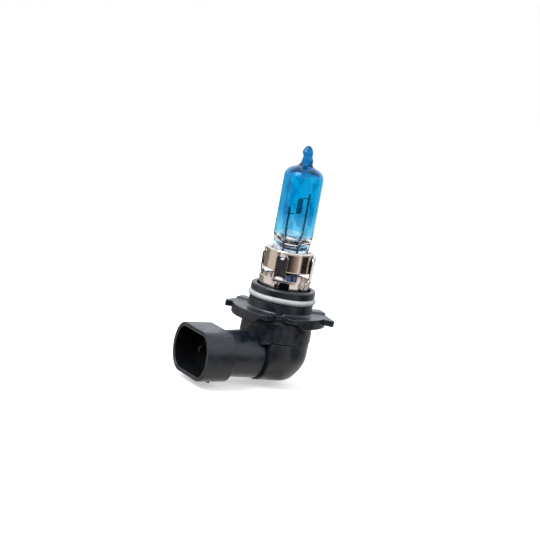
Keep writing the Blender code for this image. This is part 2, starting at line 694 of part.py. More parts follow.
def build():
    """Clears the scene and makes every piece."""
    for obj in list(bpy.data.objects):
        bpy.data.objects.remove(obj)
    parts = collection(COLLECTION)
    cutters = collection("cutters")
    glass_envelope(parts, cutters)
    filament_coil(parts)
    inner_lead("inner_lead_long", 1, LONG_LEAD_X, LONG_LEAD_TOP_Z, parts)
    inner_lead("inner_lead_short", -1, SHORT_LEAD_X, SHORT_LEAD_TOP_Z, parts)
    for number, side in enumerate((1, -1), start=1):
        seal_foil(f"seal_foil_{number}", side, parts)
        outer_lead(f"outer_lead_{number}", side, parts)
        lead_ferrule(f"lead_ferrule_{number}", side, parts)
        terminal_blade(f"terminal_blade_{number}", -side, parts)
    capsule_cup(parts, cutters)
    capsule_clip(parts, cutters)
    focus_cage(parts, cutters)
    base_body(parts, cutters)
    o_ring(parts)
    potting_seal(parts, cutters)
    elbow_cover(parts, cutters)
    connector_shroud(parts, cutters)


build()
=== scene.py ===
"""Looks of the right-angle halogen bulb: fine meshes, materials, light and camera.

Lengths are millimetres in this script's own functions and become metres when a mesh is made.
The origin is on the capsule's axis at the flange's top face, +Z runs up the capsule.
"""

from math import acos, atan2, copysign, cos, degrees, exp, hypot, pi, radians, sin, sqrt

import bmesh
import bpy
from mathutils import Matrix, Vector


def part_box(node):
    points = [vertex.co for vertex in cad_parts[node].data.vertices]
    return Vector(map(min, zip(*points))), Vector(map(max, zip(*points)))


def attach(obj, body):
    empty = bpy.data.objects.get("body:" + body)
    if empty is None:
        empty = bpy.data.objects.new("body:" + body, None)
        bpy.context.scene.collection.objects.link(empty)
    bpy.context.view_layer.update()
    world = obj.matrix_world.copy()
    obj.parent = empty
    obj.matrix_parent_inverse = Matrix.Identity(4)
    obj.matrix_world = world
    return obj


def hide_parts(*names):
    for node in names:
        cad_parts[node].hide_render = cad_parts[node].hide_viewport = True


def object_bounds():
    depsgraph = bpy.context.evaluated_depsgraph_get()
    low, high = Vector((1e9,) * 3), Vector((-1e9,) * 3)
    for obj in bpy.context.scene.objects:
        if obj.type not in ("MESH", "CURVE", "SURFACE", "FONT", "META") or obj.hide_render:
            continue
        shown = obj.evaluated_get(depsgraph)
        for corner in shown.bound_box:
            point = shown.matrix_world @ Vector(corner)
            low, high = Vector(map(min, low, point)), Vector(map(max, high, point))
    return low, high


MM = 0.001
WELD = 0.000002
FINE = 128
SHARP_DEGREES = 38.0

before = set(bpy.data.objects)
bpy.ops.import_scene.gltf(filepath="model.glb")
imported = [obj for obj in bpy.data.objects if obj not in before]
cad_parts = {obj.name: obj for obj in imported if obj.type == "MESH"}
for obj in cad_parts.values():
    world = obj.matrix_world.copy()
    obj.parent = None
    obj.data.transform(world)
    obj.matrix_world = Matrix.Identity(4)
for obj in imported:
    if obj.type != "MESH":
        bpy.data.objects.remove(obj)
CAD_LOW, CAD_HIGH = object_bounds()


def span(node):
    """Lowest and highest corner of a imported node, in millimetres."""
    low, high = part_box(node)
    return low / MM, high / MM


CUP_LOW, CUP_HIGH = span("capsule_cup")
CAGE_LOW, CAGE_HIGH = span("focus_cage")
GLASS_LOW, GLASS_HIGH = span("glass_envelope")
RING_LOW, RING_HIGH = span("o_ring")
SHROUD_LOW = span("connector_shroud")[0]
COVER_HIGH = span("elbow_cover")[1]
BLADE_LOW, BLADE_HIGH = span("terminal_blade_1")

# Capsule
SEAL_TURN = radians(-45.0)
BARREL_R = 6.45
COAT_LOW_Z = 25.1
PINCH_HALF_WIDTH = 3.9
PINCH_HALF_THICK = 1.7
PINCH_POWER = 5.0
QUARTZ_WALL = 1.15
TIP_ROOT_Z = 46.5
SEAL_LEAD_X = 2.3
LEAD_R = 0.35

# Sheet metal
SHEET = 0.4
CUP_R = 8.0
CAGE_R = 8.7
LEG_AZIMUTH = -139.6
WINDOW_AZIMUTH = -130.6
JOINT_AZIMUTH = -84.0
JOINT_WIDTH = 2.6
RING_TOP_Z = 10.9
LEG_HALF = 2.0
LEG_REACH = 3.2
WELD_Z = 18.3
WINDOW_HALF = 2.5
WINDOW_LOW_Z = 3.2
WINDOW_HIGH_Z = 10.25
CLIP_R = 7.05

# Moulded base
COLLAR_R = 10.6
HUB_R = 9.5
AXIS_Z = -15.4
TUBE_R = 7.4
TUBE_ROOT_R = 8.0
TUBE_END_X = -20.7
FACE_X = -7.2
GAP = 0.3
SEAM_Z = -9.15
BODY_LOW_R = 11.8
COVER_TURN_Z = -15.0
TUBE_BORE_R = 5.9
COVER_HOLE_R = 6.9
WING_ROOT_R = 13.5

# Connector
SHROUD_Z = -15.0
SHROUD_TALL = 16.2
SHROUD_WIDE = 22.3
SHROUD_FLAT = 10.9
SHROUD_WALL = 1.4
SHROUD_FLOOR_X = -23.2
SPIGOT_R = 5.6
SPIGOT_LENGTH = 2.6
SPIGOT_BORE_R = 4.75
LATCH_HALF_WIDTH = 2.5
BLADE_HALF_WIDTH = 1.4
BLADE_HALF_THICK = 0.4


# ---------------------------------------------------------------- shape helpers

def circle_point(radius, azimuth, z=0.0):
    """A point at a radius, an azimuth and a height."""
    angle = radians(azimuth)
    return (radius * cos(angle), radius * sin(angle), z)


def circle_ring(radius, z, steps):
    """Points round a level circle."""
    return [circle_point(radius, 360.0 * i / steps, z) for i in range(steps)]


def rectangle(low_x, low_y, high_x, high_y):
    """The corners of a rectangle."""
    return [(low_x, low_y), (high_x, low_y), (high_x, high_y), (low_x, high_y)]


def ease(value, start, end):
    """0 before start, 1 after end, and a smooth rise between them."""
    t = min(1.0, max(0.0, (value - start) / (end - start)))
    return t * t * (3.0 - 2.0 * t)


def smooth_value(table, at):
    """A smooth curve through (position, value) pairs in rising order, read at one position."""
    if at <= table[0][0]:
        return table[0][1]
    if at >= table[-1][0]:
        return table[-1][1]
    i = max(k for k in range(len(table) - 1) if table[k][0] <= at)

    def slope(k):
        before, after = table[max(k - 1, 0)], table[min(k + 1, len(table) - 1)]
        return (after[1] - before[1]) / (after[0] - before[0])

    (x0, y0), (x1, y1) = table[i], table[i + 1]
    width = x1 - x0
    t = (at - x0) / width
    rise = (2 * t**3 - 3 * t**2 + 1) * y0 + (-2 * t**3 + 3 * t**2) * y1
    return rise + width * ((t**3 - 2 * t**2 + t) * slope(i) + (t**3 - t**2) * slope(i + 1))


def rounded(points, sizes, steps=4, closed=False):
    """The line with its corners rounded; sizes is one reach for all corners or one for each."""
    count = len(points)
    reaches = sizes if hasattr(sizes, "__len__") else [sizes] * count
    line = []
    for i, point in enumerate(points):
        here = Vector(point)
        if reaches[i] <= 0 or (not closed and i in (0, count - 1)):
            line.append(tuple(here))
            continue
        back = Vector(points[i - 1]) - here
        ahead = Vector(points[(i + 1) % count]) - here
        reach = min(reaches[i], back.length * 0.49, ahead.length * 0.49)
        start = here + back.normalized() * reach
        end = here + ahead.normalized() * reach
        for k in range(steps + 1):
            t = k / steps
            line.append(tuple(start * (1 - t)**2 + here * (2 * t * (1 - t)) + end * t * t))
    return line


def closed_mesh(work):
    """A mesh from this bmesh, welded, with its faces pointing out."""
    bmesh.ops.remove_doubles(work, verts=work.verts, dist=WELD)
    bmesh.ops.dissolve_degenerate(work, edges=work.edges, dist=WELD / 4)
    bmesh.ops.recalc_face_normals(work, faces=work.faces)
    mesh = bpy.data.meshes.new("shape")
    work.to_mesh(mesh)
    work.free()
    return mesh


def skin(rings, loop=False):
    """A closed mesh through rings of equal point count; a loop joins the last ring to the first."""
    work = bmesh.new()
    loops = [[work.verts.new(Vector(p) * MM) for p in ring] for ring in rings]
    pairs = list(zip(loops, loops[1:]))
    if loop:
        pairs.append((loops[-1], loops[0]))
    for near, far in pairs:
        for i in range(len(near)):
            j = (i + 1) % len(near)
            work.faces.new((near[i], near[j], far[j], far[i]))
    if not loop:
        work.faces.new(reversed(loops[0]))
        work.faces.new(loops[-1])
    return closed_mesh(work)


def turned(profile, loop=False, steps=FINE):
    """A solid of revolution about Z from a profile of (radius, z)."""
    return skin([circle_ring(max(r, 0.0), z, steps) for r, z in profile], loop)


def moved(mesh, y, z=0.0):
    """The mesh moved sideways and up by these millimetres."""
    mesh.transform(Matrix.Translation((0.0, y * MM, z * MM)))
    return mesh


def turn_mesh(mesh, angle, axis="Z"):
    """The mesh turned about the capsule's axis, or about another one."""
    mesh.transform(Matrix.Rotation(angle, 4, axis))
    return mesh


def stood_up(mesh):
    """A flat plate stood up, so that its thickness runs along Y."""
    return turn_mesh(mesh, pi / 2, "X")


def rod_x(radius, x_from, x_to, z, edge=0.0, far_radius=None, steps=FINE):
    """A cylinder along X, or a cone with far_radius at x_to, with rounded ends."""
    far = radius if far_radius is None else far_radius
    profile = rounded([(0.0, x_to), (far, x_to), (radius, x_from), (0.0, x_from)],
                      [0.0, edge, edge, 0.0])
    return moved(turn_mesh(turned(profile, steps=steps), pi / 2, "Y"), 0.0, z)


def linked(name, data):
    """A new object in the scene."""
    obj = bpy.data.objects.new(name, data)
    bpy.context.scene.collection.objects.link(obj)
    return obj


def baked(obj):
    """The object's shape with its modifiers or bevel as a plain mesh; the object is removed."""
    bpy.context.view_layer.update()
    graph = bpy.context.evaluated_depsgraph_get()
    made = bpy.data.meshes.new_from_object(obj.evaluated_get(graph))
    work = bmesh.new()
    work.from_mesh(made)
    bmesh.ops.transform(work, matrix=obj.matrix_world, verts=work.verts)
    bpy.data.objects.remove(obj)
    return closed_mesh(work)


def plate(outline, low, high, holes=(), edge=0.12):
    """A flat outline with holes, filled between two heights, with rounded edges."""
    curve = bpy.data.curves.new("plate", "CURVE")
    curve.dimensions = "2D"
    curve.fill_mode = "BOTH"
    curve.extrude = ((high - low) / 2 - edge) * MM
    curve.bevel_depth = edge * MM
    curve.bevel_resolution = 2
    curve.offset = -edge * MM
    for loop in (outline, *holes):
        line = curve.splines.new("POLY")
        line.points.add(len(loop) - 1)
        line.use_cyclic_u = True
        for point, (x, y) in zip(line.points, loop):
            point.co = (x * MM, y * MM, 0.0, 1.0)
    obj = linked("work", curve)
    obj.location.z = (low + high) / 2 * MM
    return baked(obj)


def wire(points, radius, sides=12):
    """A round wire with closed ends along the points."""
    curve = bpy.data.curves.new("wire", "CURVE")
    curve.dimensions = "3D"
    curve.bevel_depth = radius * MM
    curve.bevel_resolution = sides // 4
    curve.use_fill_caps = True
    line = curve.splines.new("POLY")
    line.points.add(len(points) - 1)
    for point, where in zip(line.points, points):
        point.co = (*(Vector(where) * MM), 1.0)
    return baked(linked("work", curve))


def combined(first, steps):
    """The first mesh after a list of (operation, mesh) Booleans."""
    base = linked("work", first)
    tools = []
    for operation, mesh in steps:
        tool = linked("work", mesh)
        tool.hide_render = True
        tools.append(tool)
        cut = base.modifiers.new("cut", "BOOLEAN")
        cut.operation = operation
        cut.object = tool
    mesh = baked(base)
    for tool in tools:
        bpy.data.objects.remove(tool)
    return mesh


def mended(mesh, stray=None):
    """The mesh without the loose edges, pinholes or stray skin a Boolean can leave."""
    work = bmesh.new()
    work.from_mesh(mesh)
    if stray:
        skins = [face for face in work.faces if stray([v.co / MM for v in face.verts])]
        bmesh.ops.delete(work, geom=skins, context="FACES")
    loose = [edge for edge in work.edges if not edge.link_faces]
    bmesh.ops.delete(work, geom=loose, context="EDGES")
    rims = [edge for edge in work.edges if len(edge.link_faces) == 1]
    if rims:
        bmesh.ops.holes_fill(work, edges=rims, sides=4)
        bmesh.ops.recalc_face_normals(work, faces=work.faces)
    work.to_mesh(mesh)
    work.free()
    return mesh


def joined(meshes):
    """Several closed meshes as one."""
    work = bmesh.new()
    for mesh in meshes:
        work.from_mesh(mesh)
    made = bpy.data.meshes.new("joined")
    work.to_mesh(made)
    work.free()
    return made


def piece(node, mesh, materials, flat_faces=False):
    """A finished piece: it rides on the part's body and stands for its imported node."""
    obj = linked(f"{node}_look", mesh)
    for mat in materials if isinstance(materials, list) else [materials]:
        mesh.materials.append(mat)
    mesh.shade_smooth()
    mesh.set_sharp_from_angle(angle=radians(SHARP_DEGREES))
    if flat_faces:
        weights = obj.modifiers.new("normals", "WEIGHTED_NORMAL")
        weights.keep_sharp = True
    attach(obj, "root")
    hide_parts(node)


# ---------------------------------------------------------------- materials

def add(tree, kind, settings=None, inputs=None):
    """A node with some of its settings and inputs given."""
    node = tree.nodes.new(kind)
    for key, value in (settings or {}).items():
        setattr(node, key, value)
    for key, value in (inputs or {}).items():
        node.inputs[key].default_value = value
    return node


def surface(name, sockets):
    """A material with these constants on its Principled shader."""
    mat = bpy.data.materials.new(name)
    mat.use_nodes = True
    tree = mat.node_tree
    shader = tree.nodes["Principled BSDF"]
    for key, value in sockets.items():
        shader.inputs[key].default_value = value
    return mat, tree, shader


def feed(value, node, name):
    """Links a socket to a node's input."""
    node.id_data.links.new(value, node.inputs[name])


def separated(vector):
    """The three parts of a vector."""
    node = add(vector.id_data, "ShaderNodeSeparateXYZ")
    feed(vector, node, "Vector")
    return node.outputs


def object_space(tree):
    """The place on the object, in metres."""
    return add(tree, "ShaderNodeTexCoord").outputs["Object"]


def noise(tree, scale, detail=4.0, stretch=(1.0, 1.0, 1.0), rough=0.55):
    """Noise over the object's own space; scale is features per metre along each axis."""
    mapping = add(tree, "ShaderNodeMapping", inputs={"Scale": stretch})
    feed(object_space(tree), mapping, "Vector")
    texture = add(tree, "ShaderNodeTexNoise",
                  inputs={"Scale": scale, "Detail": detail, "Roughness": rough})
    feed(mapping.outputs["Vector"], texture, "Vector")
    return texture.outputs["Fac"]


def ranged(value, low, high, to_low=0.0, to_high=1.0):
    """The value moved from one range to another, held at its ends."""
    node = add(value.id_data, "ShaderNodeMapRange", {"interpolation_type": "SMOOTHSTEP"},
               {"From Min": low, "From Max": high, "To Min": to_low, "To Max": to_high})
    feed(value, node, "Value")
    return node.outputs["Result"]


def blended(factor, first, second):
    """A colour between two, each a socket or a constant."""
    node = add(factor.id_data, "ShaderNodeMix", {"data_type": "RGBA"})
    feed(factor, node, "Factor")
    for key, value in (("A", first), ("B", second)):
        socket = next(s for s in node.inputs if s.name == key and s.type == "RGBA")
        if isinstance(value, bpy.types.NodeSocket):
            node.id_data.links.new(value, socket)
        else:
            socket.default_value = (*value, 1.0)
    return next(s for s in node.outputs if s.type == "RGBA")


def bump(shader, layers):
    """Stacks bump layers of (height, strength, depth in millimetres) on the shader's normal."""
    last = None
    for height, strength, depth in layers:
        node = add(shader.id_data, "ShaderNodeBump",
                   inputs={"Strength": strength, "Distance": depth * MM})
        feed(height, node, "Height")
        if last is not None:
            feed(last.outputs["Normal"], node, "Normal")
        last = node
    feed(last.outputs["Normal"], shader, "Normal")


def mottled(pattern, low, high, first, second, most=1.0):
    """A colour that goes from the first to the second as the pattern rises."""
    return blended(ranged(pattern, low, high, 0.0, most), first, second)


def moulded_plastic(name, light, dark, roughness, gloss=0.5):
    """Satin black moulding: fine spark grain, cloudy flow marks, and lighter flecks that are
    painted glints.
    """
    mat, tree, shader = surface(name, {"IOR": 1.5, "Specular IOR Level": gloss})
    clouds = noise(tree, 420.0, 5.0)
    grain = noise(tree, 9000.0, 3.0)
    glint_flecks = noise(tree, 2600.0, 2.0)
    colour = mottled(clouds, 0.38, 0.66, dark, light)
    # Lighter flecks painted into the colour: painted glints standing for the moulding's sparkle.
    colour = mottled(glint_flecks, 0.66, 0.78, colour, tuple(c * 1.9 for c in light), 0.55)
    feed(colour, shader, "Base Color")
    feed(ranged(clouds, 0.35, 0.7, roughness - 0.05, roughness + 0.08), shader, "Roughness")
    bump(shader, [(clouds, 0.25, 0.12), (grain, 0.35, 0.014)])
    return mat


def sheet_metal(name, light, dark, roughness, streak, anisotropy):
    """Drawn or rolled sheet: upright draw lines, soft tint patches and fine scratches."""
    mat, tree, shader = surface(name, {"Metallic": 1.0, "Anisotropic": anisotropy})
    lines = noise(tree, 1.0, 4.0, stretch=(2600.0, 2600.0, 130.0))
    patches = noise(tree, 210.0, 3.0)
    dents = noise(tree, 480.0, 2.0)
    tint = mottled(patches, 0.36, 0.68, light, dark)
    tint = mottled(lines, 0.52, 0.72, tint, tuple(c * 0.72 for c in dark), streak)
    feed(tint, shader, "Base Color")
    feed(ranged(lines, 0.3, 0.75, roughness - 0.03, roughness + 0.06), shader, "Roughness")
    bump(shader, [(dents, 0.12, 0.06), (lines, 0.12, 0.006)])
    return mat


def wire_metal(name, light, dark, roughness):
    """Drawn wire or plated contact: mottled oxide and a fine grain."""
    mat, tree, shader = surface(name, {"Metallic": 1.0})
    mottle = noise(tree, 1500.0, 4.0)
    grain = noise(tree, 12000.0, 2.0)
    feed(mottled(mottle, 0.35, 0.68, light, dark), shader, "Base Color")
    feed(ranged(mottle, 0.3, 0.7, roughness, roughness + 0.15), shader, "Roughness")
    bump(shader, [(grain, 0.3, 0.01)])
    return mat


def silicone(name):
    """Pale grey silicone rubber with a dusting of darker specks."""
    mat, tree, shader = surface(name, {"IOR": 1.43, "Sheen Weight": 0.12, "Sheen Roughness": 0.5})
    clouds = noise(tree, 500.0, 3.0)
    specks = noise(tree, 3800.0, 2.0)
    colour = mottled(clouds, 0.35, 0.68, (0.4, 0.42, 0.425), (0.33, 0.35, 0.36))
    feed(mottled(specks, 0.68, 0.8, colour, (0.25, 0.26, 0.27), 0.5), shader, "Base Color")
    feed(ranged(clouds, 0.3, 0.7, 0.42, 0.6), shader, "Roughness")
    bump(shader, [(clouds, 0.15, 0.08), (specks, 0.2, 0.02)])
    return mat


def cast_sealant(name):
    """Cast sealing compound: matt, uneven, with small pits."""
    mat, tree, shader = surface(name, {"IOR": 1.5})
    clouds = noise(tree, 900.0, 5.0)
    pits = noise(tree, 3200.0, 2.0)
    feed(mottled(clouds, 0.35, 0.7, (0.28, 0.26, 0.23), (0.17, 0.16, 0.15)),
         shader, "Base Color")
    feed(ranged(clouds, 0.3, 0.7, 0.55, 0.8), shader, "Roughness")
    bump(shader, [(clouds, 0.6, 0.2), (pits, 0.4, 0.06)])
    return mat


def coated_quartz(name):
    """Quartz with the blue coat, paler at the coat's lower end and darker at the tip."""
    mat, tree, shader = surface(name, {
        "Transmission Weight": 1.0, "IOR": 1.46, "Roughness": 0.012,
        "Specular Tint": (0.3, 0.7, 1.0, 1.0)})
    z = separated(object_space(tree))["Z"]
    cloud = noise(tree, 110.0, 1.0, stretch=(1.0, 1.0, 0.2))
    low = ranged(z, COAT_LOW_Z * MM, (COAT_LOW_Z + 9.0) * MM)
    high = ranged(z, 43.6 * MM, 47.0 * MM)
    body = mottled(cloud, 0.35, 0.65, (0.0, 0.34, 0.7), (0.0, 0.41, 0.78))
    faded = blended(low, (0.14, 0.66, 0.95), body)
    feed(blended(high, faded, (0.0, 0.16, 0.48)), shader, "Base Color")
    ripple = noise(tree, 330.0, 2.0, stretch=(1.0, 1.0, 0.5))
    bump(shader, [(ripple, 0.03, 0.05)])
    return mat


def clear_quartz(name):
    """Bare quartz with slow waves, navy streaks painted in as the dark refraction of its
    surroundings, and painted navy shade low in the pinch.
    """
    mat, tree, shader = surface(name, {
        "Transmission Weight": 1.0, "IOR": 1.46, "Roughness": 0.005})
    waves = noise(tree, 420.0, 2.0)
    refraction_streaks = noise(tree, 230.0, 3.0, stretch=(1.0, 1.0, 0.45))
    bare = mottled(waves, 0.3, 0.7, (0.97, 0.985, 1.0), (0.93, 0.96, 1.0))
    # Navy streaks: painted shade standing for dark surroundings seen by refraction.
    with_shade_streaks = mottled(refraction_streaks, 0.5, 0.6, bare, (0.1, 0.2, 0.42), 0.75)
    z = separated(object_space(tree))["Z"]
    # Painted shade: the pinch is tinted navy below the cup, where it shows the dark inside.
    pinch_shade = ranged(z, 12.5 * MM, 15.0 * MM, 1.0, 0.0)
    feed(blended(pinch_shade, with_shade_streaks, (0.07, 0.1, 0.19)), shader, "Base Color")
    bump(shader, [(waves, 0.3, 0.25)])
    return mat


PLASTIC = moulded_plastic("black_plastic", (0.0085, 0.0125, 0.019), (0.003, 0.005, 0.0085), 0.32)
# A darker, duller copy of the black plastic: painted shade for the faces deep inside the shroud's
# mouth.
SHADED = moulded_plastic("shade_painted_plastic", (0.003, 0.0035, 0.0045),
                         (0.001, 0.0012, 0.0016), 0.7, gloss=0.1)
NICKEL = sheet_metal("nickel_alloy", (0.66, 0.585, 0.53), (0.56, 0.485, 0.43), 0.11, 0.3, 0.3)
BRIGHT = sheet_metal("bright_sheet", (0.78, 0.72, 0.69), (0.68, 0.62, 0.59), 0.12, 0.2, 0.2)
TUNGSTEN = wire_metal("tungsten", (0.2, 0.2, 0.21), (0.09, 0.09, 0.1), 0.38)
FOIL = wire_metal("foil", (0.5, 0.49, 0.48), (0.36, 0.35, 0.35), 0.3)
TINNED = wire_metal("tinned_metal", (0.62, 0.62, 0.6), (0.44, 0.44, 0.43), 0.3)
# The blades' metal is painted near black: painted shade for their place deep inside the shroud.
SHADE_DARK_CONTACT = wire_metal("shade_painted_contact_metal", (0.07, 0.07, 0.068), (0.04, 0.04, 0.039), 0.45)
RUBBER = silicone("grey_rubber")
SEALANT = cast_sealant("sealant")
COATED = coated_quartz("blue_quartz")
CLEAR = clear_quartz("clear_quartz")


# ---------------------------------------------------------------- capsule

def seal_section(half_width, half_thick, power, z, steps):
    """A ring between a circle (power 2) and a rounded bar (a higher power)."""
    ring = []
    for i in range(steps):
        angle = 2 * pi * i / steps
        c, s = cos(angle), sin(angle)
        ring.append((half_width * copysign(abs(c) ** (2 / power), c),
                     half_thick * copysign(abs(s) ** (2 / power), s), z))
    return ring


def tip_ring(radius, z, steps):
    """A ring of the sealed exhaust tip, lumpy where the tube was melted off."""
    rise = (z - TIP_ROOT_Z) / 7.8
    lean = 0.28 * sin(rise * 5.2)
    ring = []
    for i in range(steps):
        angle = 2 * pi * i / steps
        twofold = 0.07 * sin(2 * angle + 9.0 * rise)
        lump = 1.0 + twofold + 0.05 * sin(3 * angle - 12.0 * rise)
        ring.append((radius * lump * cos(angle) + lean * rise,
                     radius * lump * sin(angle) - lean * 0.6 * rise, z))
    return ring


def quartz_outside(steps):
    """Rings of the quartz from the pinch's foot to the exhaust tip."""
    foot = GLASS_LOW.z
    rings = [seal_section(0.01, 0.01, 2.0, foot, steps)]
    pinch = [(foot, 0.86, 0.75), (foot + 0.12, 0.96, 0.92), (foot + 0.4, 1.0, 1.0),
             (foot + 2.5, 1.0, 0.94), (foot + 5.0, 1.0, 1.0), (15.6, 1.0, 1.02)]
    for z, wide, thick in pinch:
        rings.append(seal_section(PINCH_HALF_WIDTH * wide, PINCH_HALF_THICK * thick, PINCH_POWER,
                                  z, steps))
    shoulder = [(16.6, 4.1, 1.8, 4.6), (17.4, 4.6, 1.95, 4.2), (18.2, 5.2, 2.15, 3.8),
                (19.0, 5.65, 2.4, 3.4), (19.8, 5.88, 2.72, 3.1), (20.5, 5.96, 3.12, 2.9),
                (21.2, 6.0, 3.6, 2.7), (21.9, 6.02, 4.15, 2.5), (22.6, 6.05, 4.75, 2.35),
                (23.2, 6.1, 5.3, 2.2), (23.8, 6.2, 5.8, 2.1), (24.3, 6.32, 6.15, 2.03),
                (24.7, 6.42, 6.38, 2.0)]
    for z, wide, thick, power in shoulder:
        rings.append(seal_section(wide, thick, power, z, steps))
    barrel = [(COAT_LOW_Z, BARREL_R), (25.6, BARREL_R), (31.0, BARREL_R), (37.0, BARREL_R),
              (43.4, BARREL_R), (44.1, 6.43), (44.7, 6.35), (45.25, 6.14), (45.75, 5.86),
              (46.2, 5.46), (46.6, 4.95), (46.95, 4.35), (47.25, 3.65), (47.5, 3.0), (47.8, 2.45)]
    rings += [circle_ring(radius, z, steps) for z, radius in barrel]
    tip = [(48.15, 2.08), (48.5, 1.88), (48.9, 1.84), (49.4, 1.93), (49.9, 1.9), (50.4, 1.7),
           (50.9, 1.56), (51.4, 1.64), (51.9, 1.72), (52.4, 1.6), (52.9, 1.4), (53.4, 1.2),
           (53.9, 0.86), (54.18, 0.42), (GLASS_HIGH.z, 0.0)]
    return rings + [tip_ring(radius, z, steps) for z, radius in tip]


def quartz_cavity(steps):
    """Rings of the bulb space, from its floor over the pinch to the hollow root of the tip."""
    inner = BARREL_R - QUARTZ_WALL
    profile = [(22.7, 0.0), (22.75, 1.4), (22.95, 2.7), (23.35, 3.8), (24.0, 4.6), (24.9, 5.08),
               (26.0, inner), (30.0, inner), (36.0, inner), (43.9, inner), (44.8, 5.0),
               (45.4, 4.4), (45.85, 3.5), (46.15, 2.4), (46.45, 1.3), (47.1, 0.7), (47.9, 0.45),
               (48.4, 0.0)]
    return [circle_ring(radius, z, steps) for z, radius in profile]


def glass_envelope():
    """Quartz bulb with its pinch and tip; only the outside above the shoulder is coated."""
    steps = 144
    outside = skin(quartz_outside(steps))
    inside = skin(quartz_cavity(steps))
    inside.flip_normals()
    outside_faces = len(outside.polygons)
    mesh = joined([outside, inside])
    for face in mesh.polygons:
        coated = face.index < outside_faces and face.center.z > COAT_LOW_Z * MM
        face.material_index = 0 if coated else 1
    turn_mesh(mesh, SEAL_TURN)
    piece("glass_envelope", mesh, [COATED, CLEAR])


def filament_coil():
    """Close-wound tungsten helix with a crimped tail at each end."""
    low, high, turns, per_turn = 32.15, 36.95, 16, 20
    radius, shift = 0.74, 0.3
    count = turns * per_turn
    points = [(-2.2, 0.0, 31.7), (-1.3, 0.0, 31.72), (-0.75, 0.0, 31.85)]
    for i in range(count + 1):
        angle = pi + 2 * pi * i / per_turn
        points.append((shift + radius * cos(angle), radius * sin(angle),
                       low + (high - low) * i / count))
    points += [(shift + 0.5, 0.0, 37.2), (1.5, 0.0, 37.42), (2.4, 0.0, 37.5)]
    mesh = turn_mesh(wire(points, 0.115, sides=8), SEAL_TURN)
    piece("filament_coil", mesh, TUNGSTEN)


def inner_lead(node, side, lead_x, top_z, weld_z):
    """Support wire from the seal up beside the filament, with the cross strap welded on it."""
    foot_z = span(node)[0].z
    path = rounded([(side * SEAL_LEAD_X, 0.0, foot_z), (side * SEAL_LEAD_X, 0.0, 22.6),
                    (lead_x, 0.0, 25.2), (lead_x, 0.0, top_z)], [0.0, 1.2, 1.4, 0.0], steps=6)
    strap = [(lead_x + side * 0.75, 0.3, weld_z - 0.05), (lead_x, 0.42, weld_z),
             (lead_x - side * 1.5, 0.2, weld_z + 0.04)]
    stem = wire(path, LEAD_R)
    mesh = combined(stem, [("UNION", wire(rounded(strap, 0.4), 0.2))])
    piece(node, turn_mesh(mesh, SEAL_TURN), TUNGSTEN)


def seal_foil(node, side):
    """Etched foil in the pinch, thick in the middle and feathered to its long edges."""
    low, high = span(node)
    half, middle = 0.8, 0.1
    rings = []
    for z, share in ((low.z, 0.82), (low.z + 0.3, 1.0), (high.z - 0.3, 1.0), (high.z, 0.82)):
        outline = [(-half * share, 0.0), (-half * 0.5, -middle * 0.8), (0.0, -middle),
                   (half * 0.5, -middle * 0.8), (half * share, 0.0), (half * 0.5, middle * 0.8),
                   (0.0, middle), (-half * 0.5, middle * 0.8)]
        rings.append([(side * SEAL_LEAD_X + x, y, z) for x, y in outline])
    piece(node, turn_mesh(skin(rings), SEAL_TURN), FOIL)


def outer_lead(node, side):
    """Lead from its foil down through the potting, bent over to stand beside its blade."""
    low, high = span(node)
    spin = Matrix.Rotation(SEAL_TURN, 3, "Z")
    top = spin @ Vector((side * SEAL_LEAD_X, 0.0, high.z))
    below = spin @ Vector((side * SEAL_LEAD_X, 0.0, 8.2))
    foot_y = -side * lead_foot_y()
    path = [top, below, Vector((0.0, foot_y, 0.8)), Vector((0.0, foot_y, low.z))]
    piece(node, wire(rounded(path, [0.0, 1.4, 1.6, 0.0], steps=8), LEAD_R), TINNED)


def lead_foot_y():
    """How far the outer leads stand from the middle plane, read from a ferrule's middle."""
    low, high = span("lead_ferrule_1")
    return abs(low.y + high.y) / 2


def lead_ferrule(node):
    """Crimped sleeve: flared ends and two crimp waists."""
    low, high = span(node)
    bore, out = LEAD_R + GAP, LEAD_R + GAP + 0.4
    tall = high.z - low.z
    heights = [0.0, 0.06, 0.22, 0.34, 0.46, 0.56, 0.68, 0.8, 0.94, 1.0]
    swell = [-0.06, 0.0, -0.03, -0.14, -0.03, -0.03, -0.14, -0.03, 0.0, -0.06]
    outer = [(out + d, high.z - tall * h) for h, d in zip(heights, swell)]
    inner = [(bore + 0.05, low.z), (bore, low.z + 0.1), (bore, high.z - 0.1), (bore + 0.05, high.z)]
    mesh = moved(turned(outer + inner, loop=True, steps=40), (low.y + high.y) / 2)
    piece(node, mesh, TINNED)


# ---------------------------------------------------------------- sheet metal

def capsule_cup():
    """Drawn cup: rolled lip, faint draw step, rounded foot and a slot for the pinch."""
    low, high = CUP_LOW.z, CUP_HIGH.z
    inner = CUP_R - SHEET
    outside = [(6.55, high - 0.62), (6.72, high - 0.22), (7.08, high), (7.5, high - 0.02),
               (7.84, high - 0.2), (CUP_R + 0.02, high - 0.55), (CUP_R - 0.06, high - 0.95),
               (CUP_R - 0.02, high - 2.4), (CUP_R, low + 1.6), (CUP_R + 0.06, low + 0.5),
               (CUP_R - 0.02, low + 0.16), (inner, low)]
    inside = [(0.4, low), (0.4, low + SHEET), (inner - 0.5, low + SHEET), (inner - 0.1, low + 0.6),
              (inner, low + 1.0), (inner - 0.02, high - 1.3), (inner - 0.2, high - 0.75),
              (7.1, high - 0.52), (6.85, high - 0.7)]
    outside = rounded(outside, 0.22, steps=3)
    slot = plate(rounded(rectangle(-4.3, -3.0, 4.3, 3.0), 1.0, closed=True), low - 1.0, low + 1.0)
    turn_mesh(slot, SEAL_TURN)
    mesh = combined(turned(outside + inside, loop=True), [("DIFFERENCE", slot)])
    piece("capsule_cup", mesh, NICKEL)


